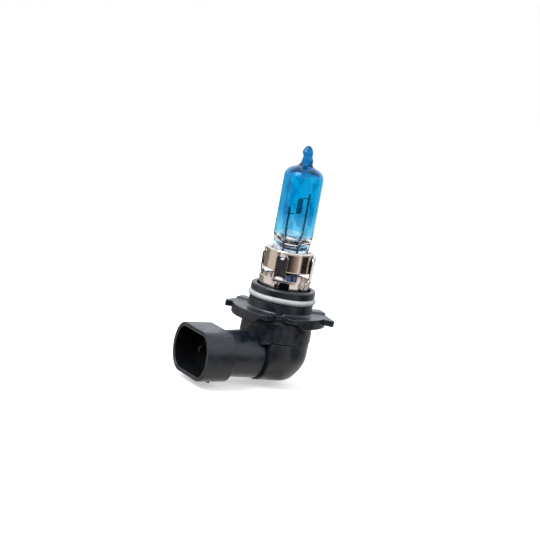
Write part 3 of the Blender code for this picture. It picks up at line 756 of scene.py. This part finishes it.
def capsule_clip():
    """Spring plate on the cup's floor, with two sprung arms that grip the pinch's flats."""
    low, high = (corner.z for corner in span("capsule_clip"))
    rim = [point[:2] for point in circle_ring(CLIP_R, 0.0, 96)]
    half_x, half_y = PINCH_HALF_WIDTH + GAP, PINCH_HALF_THICK + GAP
    opening = rounded([(half_x, half_y), (-half_x, half_y), (-half_x, -half_y), (half_x, -half_y)],
                      0.5, closed=True)
    base = plate(rim, low, low + SHEET, holes=[opening], edge=0.1)
    steps = []
    for side in (-1, 1):
        path = [(half_y + 0.45, low + 0.2), (half_y + 0.16, low + 0.9), (half_y + 0.04, high - 1.2),
                (half_y + 0.3, high)]
        outline = rounded(path, 0.5)
        sheet = outline + [(y + SHEET, z) for y, z in reversed(outline)]
        arm = stood_up(plate(sheet, -2.6, 2.6, edge=0.06))
        steps.append(("UNION", turn_mesh(arm, side * pi / 2)))
    mesh = turn_mesh(combined(base, steps), SEAL_TURN)
    piece("capsule_clip", mesh, BRIGHT, flat_faces=True)


def cage_outline():
    """The unrolled cage, along its edge from one side of the open joint to the other."""
    girth = 2 * pi * CAGE_R
    start = (JOINT_AZIMUTH / 360.0) * girth + JOINT_WIDTH / 2
    end = start + girth - JOINT_WIDTH
    low, ring_high, leg_high, half = CAGE_LOW.z, RING_TOP_Z, CAGE_HIGH.z, LEG_HALF

    def places(azimuth):
        """Where four features a quarter turn apart lie along the sheet."""
        return [((azimuth + 90.0 * k - JOINT_AZIMUTH) % 360.0 + JOINT_AZIMUTH) / 360.0 * girth
                for k in range(4)]

    legs = sorted(places(LEG_AZIMUTH))
    points = [(end, low), (end, ring_high)]
    sizes = [0.4, 0.7]
    for leg in reversed(legs):
        foot = [(leg + half + 0.5, ring_high), (leg + half, ring_high + 0.7)]
        tongue = [(leg + half * cos(a), leg_high - half + half * sin(a))
                  for a in [pi * k / 14 for k in range(15)]]
        points += foot + tongue + [(leg - half, ring_high + 0.7), (leg - half - 0.5, ring_high)]
        sizes += [0.3, 0.3] + [0.0] * 15 + [0.3, 0.3]
    points += [(start, ring_high), (start, low)]
    sizes += [0.7, 0.4]
    windows = []
    for middle in places(WINDOW_AZIMUTH):
        left, right = middle - WINDOW_HALF, middle + WINDOW_HALF
        corners = [(left, WINDOW_LOW_Z), (left, WINDOW_HIGH_Z), (right, WINDOW_HIGH_Z),
                   (right, WINDOW_LOW_Z)]
        windows.append(rounded(corners, 0.6, closed=True))
    return rounded(points, sizes, closed=True), windows, legs


CAGE_TAPER = [(6.3, 0.5), (7.8, 0.3), (9.0, 0.13), (10.2, 0.0)]


def leg_offset(z):
    """How far a leg stands out from the ring: a joggle in above the ring, then a splay out."""
    return -0.22 * ease(z, 10.4, 12.2) + 0.035 * max(0.0, z - 12.2)


def sliced(work, low, high, cuts, along):
    """Cuts the bmesh into equal strips along one axis, so that it can bend."""
    for i in range(1, cuts):
        everything = work.verts[:] + work.edges[:] + work.faces[:]
        bmesh.ops.bisect_plane(work, geom=everything, dist=WELD / 4, plane_no=along,
                               plane_co=along * (low + (high - low) * i / cuts))


def focus_cage():
    """Rolled cage with an open joint, windows, and four joggled, splayed, spot-welded legs."""
    outline, windows, legs = cage_outline()
    flat = plate(outline, 0.0, SHEET, holes=windows, edge=0.09)
    work = bmesh.new()
    work.from_mesh(flat)
    reach = [v.co.x for v in work.verts]
    sliced(work, min(reach), max(reach), 150, Vector((1.0, 0.0, 0.0)))
    sliced(work, CAGE_LOW.z * MM, CAGE_HIGH.z * MM, 56, Vector((0.0, 1.0, 0.0)))
    for vert in work.verts:
        along, z, depth = vert.co / MM
        leg = min(legs, key=lambda middle: abs(middle - along))
        radius = CAGE_R - SHEET + depth - smooth_value(CAGE_TAPER, z)
        flatness = ease(z, RING_TOP_Z, 12.4) * 0.85
        weld = exp(-((along - leg) ** 2 + (z - WELD_Z) ** 2) / 0.35)
        turn, middle = along / CAGE_R, leg / CAGE_R
        side = along - leg
        on_leg = abs(side) < LEG_REACH
        off = leg_offset(z) - 0.32 * weld if on_leg else 0.0
        round_at = Vector((radius * cos(turn), radius * sin(turn), z))
        out = Vector((cos(middle), sin(middle), 0.0))
        across = Vector((-sin(middle), cos(middle), 0.0))
        flat_at = out * (radius - 0.08) + across * side + Vector((0.0, 0.0, z))
        vert.co = (round_at.lerp(flat_at, flatness if on_leg else 0.0) + out * off) * MM
    piece("focus_cage", closed_mesh(work), BRIGHT, flat_faces=True)


# ---------------------------------------------------------------- base

FLANGE_EDGE = [(107, 15.8), (165, 15.6), (195, 15.3), (208, 15.5), (216, 15.8), (220, 15.4),
               (224, 14.1), (228, 12.3), (232, 11.2), (237, 10.9), (241, 11.2), (244, 12.2),
               (248, 14.0), (252, 14.6), (258, 14.6), (272, 14.3), (289, 14.5), (305, 15.0),
               (323, 15.6), (340, 15.8), (357, 15.8)]
LEFT_WING = ((121.0, 15.75), (143.0, 17.9), (147.5, 18.0))
RIGHT_WING = ((332.0, 15.95), (312.4, 18.83), (310.0, 18.2))
SHORT_LOBE = (393.0, 429.0)
LOBE_THICK = 3.3
FRONT_THICK = 1.6
WING_THICK = 2.05
PADS = ((107.0, 123.0), (339.0, 357.0))
PAD_HEIGHT = 0.5
EDGE_ROUND = 0.24


def line_radius(first, second, azimuth):
    """Where the ray at this azimuth meets the line through two polar points."""
    a = Vector(circle_point(first[1], first[0]))
    b = Vector(circle_point(second[1], second[0]))
    ray = Vector(circle_point(1.0, azimuth))
    across = Vector((b.y - a.y, a.x - b.x, 0.0))
    return a.dot(across) / ray.dot(across)


def lobe_thickness(azimuth):
    """The flange's thickness, which eases from the two long lobes to the thin front plate."""
    front = ease(azimuth, 205.0, 212.0) - ease(azimuth, 262.0, 270.0)
    return LOBE_THICK + (FRONT_THICK - LOBE_THICK) * front


def flange_ring(azimuth, inset):
    """Profile of the flange at one azimuth, with the fillet at the collar's foot."""
    edge = smooth_value(FLANGE_EDGE, azimuth) if azimuth <= 360.0 else FLANGE_EDGE[0][1]
    edge -= inset
    thick = lobe_thickness(azimuth) - inset
    raised = max(ease(azimuth, a - 3.0, a) - ease(azimuth, b, b + 3.0) for a, b in PADS)
    top = PAD_HEIGHT * max(0.0, raised) - inset
    foot = max(HUB_R + 0.1, min(COLLAR_R, edge - 0.5))
    fillet = min(0.75, max(0.02, edge - 0.6 - foot))
    profile = [(HUB_R, top + fillet), (foot - 0.04, top + fillet)]
    for k in range(1, 6):
        angle = pi / 2 * k / 6
        profile.append((foot + fillet * (1 - cos(angle)),
                        top + fillet * (1 - sin(angle))))
    rim = [(foot + fillet, top), (edge, top), (edge, -thick), (HUB_R, -thick)]
    profile += rounded(rim, [0.0, EDGE_ROUND, EDGE_ROUND, 0.0], steps=3)
    return [circle_point(r, azimuth, z) for r, z in profile]


def wing_ring(wing):
    """A function that gives the profile of a wing at one azimuth."""
    def ring(azimuth, inset):
        turn = min(max(azimuth, min(a for a, r in wing)), max(a for a, r in wing))
        outer = max(line_radius(first, second, turn) for first, second in zip(wing, wing[1:])
                    if min(first[0], second[0]) <= turn <= max(first[0], second[0]))
        top, low = -0.03 - inset, -WING_THICK + inset
        corners = [(WING_ROOT_R, top), (outer - inset, top), (outer - inset, low),
                   (WING_ROOT_R, low)]
        profile = rounded(corners, [0.0, EDGE_ROUND, EDGE_ROUND, 0.0], steps=3)
        return [circle_point(r, azimuth, z) for r, z in profile]
    return ring


def sector(start, end, ring):
    """A closed solid swept from one azimuth to another, with rounded end faces."""
    placed = []
    for wall, side in ((start, 1), (end, -1)):
        for k in range(5):
            lean = pi / 2 * k / 4
            along = degrees(EDGE_ROUND * (1 - cos(lean)) / FLANGE_EDGE[0][1])
            where = wall + side * along
            placed.append((where, ring(where, EDGE_ROUND * (1 - sin(lean)))))
    count = round((end - start) / 1.5)
    for k in range(1, count):
        azimuth = start + (end - start) * k / count
        placed.append((azimuth, ring(azimuth, 0.0)))
    placed.sort(key=lambda pair: pair[0])
    return skin([points for azimuth, points in placed])


def base_shell():
    """Turned collar with its groove, the ledge under the flange, the lower body and its bore."""
    outer = [(9.0, 7.9, 0.4), (10.65, 7.9, 1.5), (10.65, 5.62, 0.12), (9.05, 5.62, 0.3),
             (9.05, 3.28, 0.3), (10.6, 3.28, 0.12), (10.6, -2.5, 0.25), (11.52, -2.5, 0.35),
             (11.8, -7.5, 1.0), (11.8, SEAM_Z, 0.14), (9.0, SEAM_Z, 0.2), (9.0, -10.9, 0.3)]
    bore = [(8.0, -10.9, 0.2), (8.0, -1.5, 0.4), (5.0, -1.5, 0.2), (5.0, 1.2, 0.4), (9.0, 1.2, 0.5)]
    line = outer + bore
    profile = rounded([(r, z) for r, z, size in line], [size for r, z, size in line],
                      steps=5, closed=True)
    return turned(profile, loop=True)


OVERHANG_EDGE = [(128.0, -9.75), (136.0, -10.1), (146.0, -10.6), (158.0, -10.85), (180.0, -10.9),
                 (202.0, -10.85), (214.0, -10.6), (224.0, -10.1), (232.0, -9.75)]


def overhang_ring(azimuth, inset):
    """Profile of the wall that laps over the tube, down to an edge that slopes up at both sides."""
    low = smooth_value(OVERHANG_EDGE, azimuth)
    outer, inner, top = BODY_LOW_R - 0.015 - inset, 8.6, SEAM_Z + 0.9
    corners = [(inner, top), (outer, top), (outer, low), (inner, low)]
    profile = rounded(corners, [0.0, 0.0, 0.5, 0.0])
    return [circle_point(r, azimuth, z) for r, z in profile]


def overhang():
    """The lower body's front wall, which laps over the tube beside the cover."""
    x_cut = FACE_X - GAP
    reach = 2 * BODY_LOW_R
    box = plate(rectangle(x_cut, -reach, x_cut + reach, reach), -reach, reach, edge=0.01)
    start, end = OVERHANG_EDGE[0][0] - 6.0, OVERHANG_EDGE[-1][0] + 6.0
    return combined(sector(start, end, overhang_ring), [("DIFFERENCE", box)])


def base_body():
    """Collar, flange, lower body and tube as one moulding."""
    face = FACE_X - GAP
    solids = [sector(FLANGE_EDGE[0][0], FLANGE_EDGE[-1][0], flange_ring),
              sector(*SHORT_LOBE, flange_ring),
              sector(LEFT_WING[0][0], LEFT_WING[-1][0], wing_ring(LEFT_WING)),
              sector(RIGHT_WING[-1][0], RIGHT_WING[0][0], wing_ring(RIGHT_WING)),
              overhang(),
              rod_x(TUBE_R, TUBE_END_X, face, AXIS_Z, edge=0.16, far_radius=TUBE_ROOT_R),
              rod_x(6.6, face - 1.0, -5.6, AXIS_Z, edge=0.1)]
    steps = [("UNION", solid) for solid in solids]
    steps.append(("DIFFERENCE", rod_x(TUBE_BORE_R, TUBE_END_X - 1.0, -4.6, AXIS_Z)))

    def across_mouth(points):
        """True for a face of the skin that the bore's cut can leave over the tube's mouth."""
        return all(abs(p.x - TUBE_END_X) < 0.01
                   and hypot(p.y, p.z - AXIS_Z) < TUBE_BORE_R + 0.01 for p in points)

    mesh = mended(combined(base_shell(), steps), across_mouth)
    piece("base_body", mesh, PLASTIC, flat_faces=True)


def o_ring():
    """Sealing ring, a little flattened in its groove, with a mould line round its waist."""
    middle = (RING_LOW.z + RING_HIGH.z) / 2
    section = (RING_HIGH.z - RING_LOW.z) / 2
    centre = RING_HIGH.x - section
    count = 40
    profile = []
    for i in range(count):
        angle = 2 * pi * i / count
        out = section * cos(angle)
        flash = 0.035 * exp(-(sin(angle) / 0.07) ** 2) if out > 0 else 0.0
        profile.append((centre + out + flash, middle + section * sin(angle)))
    mesh = turned(profile, loop=True, steps=160)
    for vert in mesh.vertices:
        turn = atan2(vert.co.y, vert.co.x)
        vert.co.z += (0.05 * sin(2 * turn + 0.8) + 0.03 * sin(5 * turn)) * MM
    piece("o_ring", mesh, RUBBER)


def potting_seal():
    """Sealing compound, sunk in the middle and drawn up round its edge and the leads."""
    low, high = span("potting_seal")
    edge, sunk = high.x, high.z - 0.5
    profile = [(0.0, low.z), (edge * 0.9, low.z), (edge, low.z + 0.2), (edge, high.z),
               (edge * 0.95, high.z - 0.22), (edge * 0.8, high.z - 0.42), (edge * 0.5, sunk),
               (0.0, sunk)]
    bore, above, below = LEAD_R + 0.05, high.z + 1.0, low.z - 1.0
    drills = []
    for side in (-1, 1):
        hole = turned([(0.0, above), (bore, above), (bore, below), (0.0, below)], steps=24)
        drills.append(("DIFFERENCE", moved(hole, side * lead_foot_y())))
    piece("potting_seal", combined(turned(profile, steps=96), drills), SEALANT)


# ---------------------------------------------------------------- connector

COVER_SIDE = [(-23.55, 2.7), (-23.4, 3.9), (-22.95, 5.6), (-22.5, 6.9), (-21.5, 8.05),
              (-20.0, 9.15), (-18.4, 10.2), (-16.9, 10.9), (-15.6, 11.3), (-14.0, 11.48),
              (-12.0, 11.55), (-9.4, 11.6)]


def cover_half_width(z, radius):
    """Half the cover's width in its flat front face, widest level with the tube."""
    on_circle = sqrt(max(0.0, radius**2 - FACE_X**2))
    widest = 9.6
    if z > AXIS_Z:
        return on_circle + (widest - on_circle) * ease(-z, 10.0, -AXIS_Z)
    drop = min(1.0, (AXIS_Z - z) / 8.3)
    return max(on_circle, widest * (1 - drop ** 2.1) ** 0.476)


def cover_section(z, inset):
    """Outline of the cover at one height: a round back run out to a flat front face."""
    radius = smooth_value(COVER_SIDE, z) - inset
    front = FACE_X + inset
    half = max(0.3, cover_half_width(z, radius + inset) - inset)
    corner = Vector((front, half))
    reach = corner.length
    turn = atan2(half, front)
    tangent = turn if reach <= radius else turn - acos(radius / reach)
    if reach <= radius:
        tangent = acos(front / radius)
        corner = Vector((front, radius * sin(tangent)))
    count = 44
    side = [(radius * cos(tangent * k / count), radius * sin(tangent * k / count))
            for k in range(count + 1)]
    last = Vector(side[-1])
    run = [tuple(last.lerp(corner, k / 5)) for k in range(1, 5)]
    tail = rounded([run[-1], tuple(corner), (front, 0.0)], 0.22, steps=4)[1:-1]
    face = [(front, tail[-1][1] * (1 - k / 4)) for k in range(1, 4)]
    upper = side + run + tail + face
    lower = [(x, -y) for x, y in reversed(upper[1:])]
    return [(x, y, z) for x, y in upper + [(front, 0.0)] + lower]


def inner_cover_profile(top):
    """Profile of the cover's hollow."""
    radius, turn_r = 9.3, 6.3
    flat = radius - turn_r
    profile = [(0.0, top), (radius, top)]
    for i in range(17):
        angle = pi / 2 * i / 16
        profile.append((flat + turn_r * cos(angle), COVER_TURN_Z - turn_r * sin(angle)))
    return profile + [(0.0, COVER_TURN_Z - turn_r)]


def elbow_cover():
    """Corner cover: round behind, flat towards the tube, hollow, rounded at its seams."""
    top = COVER_HIGH.z
    heights = [-23.58, -23.5, -23.3, -23.0, -22.6, -22.1, -21.5, -20.8, -20.0, -19.2, -18.4,
               -17.6, -16.8, -16.0, -15.2, -14.4, -13.4, -12.2, -11.0, top - 0.3, top - 0.12,
               top - 0.03, top]
    insets = [0.0] * 20 + [0.02, 0.08, 0.16]
    rings = [cover_section(z, inset) for z, inset in zip(heights, insets)]
    steps = [("DIFFERENCE", turned(inner_cover_profile(top + 1.0))),
             ("DIFFERENCE", rod_x(COVER_HOLE_R, FACE_X - 2.0, 0.0, AXIS_Z))]
    piece("elbow_cover", combined(skin(rings), steps), PLASTIC, flat_faces=True)


def shroud_section(x, inset, count=20):
    """Outline of the connector at one place: flat top and bottom, bulged ends."""
    tall, wide, flat = SHROUD_TALL - 2 * inset, SHROUD_WIDE - 2 * inset, SHROUD_FLAT
    bulge = (wide - flat) / 2
    turns = [pi * (i / count - 0.5) for i in range(count + 1)]
    right = [(flat / 2 + bulge * cos(a), tall / 2 * sin(a)) for a in turns]
    top = [(flat / 2 * (1 - k / 3), tall / 2) for k in (1, 2, 3, 4, 5)]
    half = right + top
    left = [(-y, -up) for y, up in half]
    return [(x, y, SHROUD_Z + up) for y, up in half + left]


def latch_ramp():
    """Ramp under the shroud that the mating plug's latch rides over."""
    low = SHROUD_LOW.z
    root = low + 2.1
    corners = [(-28.6, root), (-28.6, root - 0.42), (-24.3, low), (-23.75, low), (-23.4, root)]
    line = rounded(corners, [0.0, 0.1, 0.3, 0.3, 0.0])
    return stood_up(plate(line, -LATCH_HALF_WIDTH, LATCH_HALF_WIDTH, edge=0.1))


def connector_shroud():
    """Shroud with a rounded rim and back edge, a latch ramp and a spigot for the tube."""
    mouth, back, floor_x, wall = SHROUD_LOW.x, TUBE_END_X - GAP, SHROUD_FLOOR_X, SHROUD_WALL
    outside = [(back, 0.42), (back - 0.05, 0.24), (back - 0.17, 0.1), (back - 0.4, 0.0),
               (-25.0, 0.0), (mouth + 3.0, 0.0), (mouth + 0.5, 0.0), (mouth + 0.32, 0.02),
               (mouth + 0.1, 0.14), (mouth, 0.4)]
    inside = [(mouth, wall - 0.4), (mouth + 0.1, wall - 0.14), (mouth + 0.32, wall),
              (mouth + 3.0, wall + 0.03), (floor_x - 0.4, wall + 0.1), (floor_x - 0.1, wall + 0.2),
              (floor_x, wall + 0.5)]
    shell = skin([shroud_section(x, inset) for x, inset in outside + inside])
    steps = [("UNION", latch_ramp()),
             ("UNION", rod_x(SPIGOT_R, back - 0.5, back + SPIGOT_LENGTH, AXIS_Z, edge=0.2)),
             ("DIFFERENCE", rod_x(SPIGOT_BORE_R, back - 1.2, back + 4.0, AXIS_Z))]
    half = (BLADE_HIGH.y - BLADE_LOW.y) / 2 + GAP
    middle = abs(BLADE_HIGH.y + BLADE_LOW.y) / 2
    reach, tall = 5.2, 1.7
    for side in (-1, 1):
        slot = plate(rectangle(back - reach, AXIS_Z - tall, back + reach, AXIS_Z + tall),
                     side * middle - half, side * middle + half, edge=0.01)
        steps.append(("DIFFERENCE", stood_up(slot)))
    mesh = mended(combined(shell, steps))
    # Faces deep inside the mouth get the darker copy of the plastic: painted shade.
    for face in mesh.polygons:
        out = Vector((0.0, face.center.y, face.center.z - AXIS_Z * MM))
        deep = face.center.x > (mouth + 0.6) * MM and face.center.x < (floor_x + 0.1) * MM
        if deep and (face.normal.dot(out) < 0.0 or face.normal.x < -0.5):
            face.material_index = 1
    piece("connector_shroud", mesh, [PLASTIC, SHADED], flat_faces=True)


def terminal_blade(node):
    """Stamped contact with coined edges and a tapered tip, turned up to its lead."""
    low, high = span(node)
    half, top, tip = BLADE_HALF_WIDTH, high.z - AXIS_Z, low.x
    outline = [(tip, -half + 0.75), (tip + 1.0, -half), (half - 0.9, -half), (half, -half + 0.9),
               (half, top), (-half, top), (-half, half), (tip + 1.0, half), (tip, half - 0.75)]
    sizes = [0.2, 0.4, 0.4, 0.4, 0.3, 0.3, 0.5, 0.4, 0.2]
    mesh = plate(rounded(outline, sizes, closed=True), -BLADE_HALF_THICK, BLADE_HALF_THICK,
                 edge=0.13)
    moved(stood_up(mesh), (low.y + high.y) / 2, AXIS_Z)
    # The near-black metal on the blade is painted shade.
    piece(node, mesh, SHADE_DARK_CONTACT, flat_faces=True)


# ---------------------------------------------------------------- studio

CAMERA_AT = (-0.2299, -0.3171, 0.0816)
CAMERA_RIGHT = (0.8223, -0.5406, 0.1774)
CAMERA_UP = (-0.0484, 0.2442, 0.9684)
CAMERA_BACK = (-0.5669, -0.8051, 0.1747)
CAMERA_LENS = 81.07
CAMERA_AZIMUTH = -125.15


def camera():
    """Camera at the photographed angle."""
    data = bpy.data.cameras.new("camera")
    data.lens = CAMERA_LENS
    data.sensor_width = 36.0
    obj = linked("camera", data)
    turn = Matrix((CAMERA_RIGHT, CAMERA_UP, CAMERA_BACK)).transposed().to_4x4()
    obj.matrix_world = Matrix.Translation(CAMERA_AT) @ turn
    bpy.context.scene.camera = obj


def floor():
    """Plain pale floor just below the part's lowest point."""
    work = bmesh.new()
    bmesh.ops.create_grid(work, x_segments=8, y_segments=8, size=4.0)
    mesh = bpy.data.meshes.new("floor")
    work.to_mesh(mesh)
    work.free()
    obj = linked("floor", mesh)
    obj.location.z = CAD_LOW.z - 0.4 * MM
    mat, tree, shader = surface("pale_floor", {"Roughness": 0.9, "Emission Strength": 0.45,
                                               "Emission Color": (1.0, 1.0, 1.0, 1.0)})
    paper = noise(tree, 30.0, 3.0)
    feed(mottled(paper, 0.3, 0.7, (0.62, 0.62, 0.62), (0.6, 0.6, 0.6)),
         shader, "Base Color")
    mesh.materials.append(mat)
    obj.visible_diffuse = False
    obj.visible_glossy = False
    obj.visible_transmission = False


# Colours that glossy rays see round the horizon, by azimuth in degrees from the camera's
STUDIO = [(-180, 0.3, 0.3, 0.3), (-150, 0.2, 0.2, 0.19), (-135, 0.26, 0.25, 0.21),
          (-112, 0.3, 0.29, 0.25), (-102, 0.95, 0.88, 0.8), (-64, 1.0, 0.93, 0.86),
          (-52, 0.03, 0.03, 0.035), (8, 0.03, 0.03, 0.04), (16, 0.1, 0.07, 0.055),
          (30, 0.3, 0.23, 0.19), (46, 0.55, 0.47, 0.41), (52, 1.0, 0.93, 0.87),
          (60, 0.95, 0.88, 0.82), (66, 0.02, 0.02, 0.018), (100, 0.02, 0.02, 0.018),
          (108, 0.5, 0.5, 0.48),
          (128, 0.5, 0.5, 0.48), (134, 0.05, 0.05, 0.05), (141, 0.95, 0.93, 0.92),
          (168, 0.95, 0.93, 0.92), (176, 0.5, 0.5, 0.5), (180, 0.5, 0.5, 0.5)]


def product(first, second):
    """Two values multiplied."""
    node = add(first.id_data, "ShaderNodeMath", {"operation": "MULTIPLY"})
    feed(first, node, 0)
    feed(second, node, 1)
    return node.outputs["Value"]


def studio_world():
    """White to the camera; panels and dark flags to glossy rays; soft light to diffuse rays.

    Rays through the glass see white near the horizon and dark blue well above and below it.
    """
    world = bpy.data.worlds.new("studio")
    bpy.context.scene.world = world
    world.use_nodes = True
    tree = world.node_tree
    tree.nodes.clear()
    turn = add(tree, "ShaderNodeMapping", {"vector_type": "POINT"},
               {"Rotation": (0.0, 0.0, radians(-CAMERA_AZIMUTH))})
    feed(add(tree, "ShaderNodeTexCoord").outputs["Generated"], turn, "Vector")
    parts = separated(turn.outputs["Vector"])
    up = parts["Z"]
    angle = add(tree, "ShaderNodeMath", {"operation": "ARCTAN2"})
    feed(parts["Y"], angle, 0)
    feed(parts["X"], angle, 1)
    share = ranged(angle.outputs["Value"], -pi, pi)
    share.node.interpolation_type = "LINEAR"
    ramp = add(tree, "ShaderNodeValToRGB")
    feed(share, ramp, "Fac")
    stops = ramp.color_ramp.elements
    while len(stops) > 1:
        stops.remove(stops[-1])
    for i, (azimuth, *colour) in enumerate(STUDIO):
        where = (azimuth + 180.0) / 360.0
        stop = stops[0] if i == 0 else stops.new(where)
        stop.position = where
        stop.color = (*colour, 1.0)
    overhead = ranged(up, 0.0, 0.24)
    table = product(ranged(up, -0.42, -0.28, 1.0, 0.0), ranged(up, -0.95, -0.8))
    level = blended(table, ramp.outputs["Color"], (0.95, 0.92, 0.89))
    glossy = blended(overhead, level, (1.35, 1.43, 1.53))
    through = product(ranged(up, 0.3, 0.62, 1.0, 0.04),
                      ranged(up, -0.85, -0.6, 0.04, 1.0))
    behind = blended(through, (0.01, 0.015, 0.05), (1.0, 1.0, 1.0))
    path = add(tree, "ShaderNodeLightPath")
    soft = mottled(up, -0.15, 0.75, (0.16, 0.17, 0.19), (1.25, 1.28, 1.32))
    plain = blended(path.outputs["Is Glossy Ray"], soft, glossy)
    clear = blended(path.outputs["Is Transmission Ray"], plain, behind)
    seen = blended(path.outputs["Is Camera Ray"], clear, (1.0, 1.0, 1.0))
    back = add(tree, "ShaderNodeBackground")
    feed(seen, back, "Color")
    feed(back.outputs["Background"], add(tree, "ShaderNodeOutputWorld"), "Surface")


def soft_light(name, azimuth, elevation, distance, size, power, glossy):
    """A square softbox aimed at the part; the azimuth is measured from the camera's."""
    data = bpy.data.lights.new(name, "AREA")
    data.size = size
    data.energy = power
    obj = linked(name, data)
    rise = radians(elevation)
    target = (CAD_LOW + CAD_HIGH) / 2
    obj.location = target + Vector(circle_point(
        distance * cos(rise), CAMERA_AZIMUTH + azimuth, distance * sin(rise)))
    obj.rotation_euler = (target - obj.location).to_track_quat("-Z", "Y").to_euler()
    obj.visible_glossy = glossy


def studio():
    """Camera, floor, world and two softboxes."""
    camera()
    floor()
    studio_world()
    soft_light("key", -50.0, 48.0, 0.7, 0.4, 5.0, True)
    soft_light("fill", 70.0, 30.0, 0.8, 0.5, 2.0, False)
    bpy.context.scene.view_settings.view_transform = "Standard"


def build():
    """Every piece of the bulb, then the studio."""
    glass_envelope()
    filament_coil()
    inner_lead("inner_lead_long", 1, 2.9, 39.2, 37.5)
    inner_lead("inner_lead_short", -1, -2.75, 33.75, 31.7)
    for number, side in ((1, 1), (2, -1)):
        seal_foil(f"seal_foil_{number}", side)
        outer_lead(f"outer_lead_{number}", side)
        lead_ferrule(f"lead_ferrule_{number}")
        terminal_blade(f"terminal_blade_{number}")
    capsule_cup()
    capsule_clip()
    focus_cage()
    base_body()
    o_ring()
    potting_seal()
    elbow_cover()
    connector_shroud()
    studio()


build()
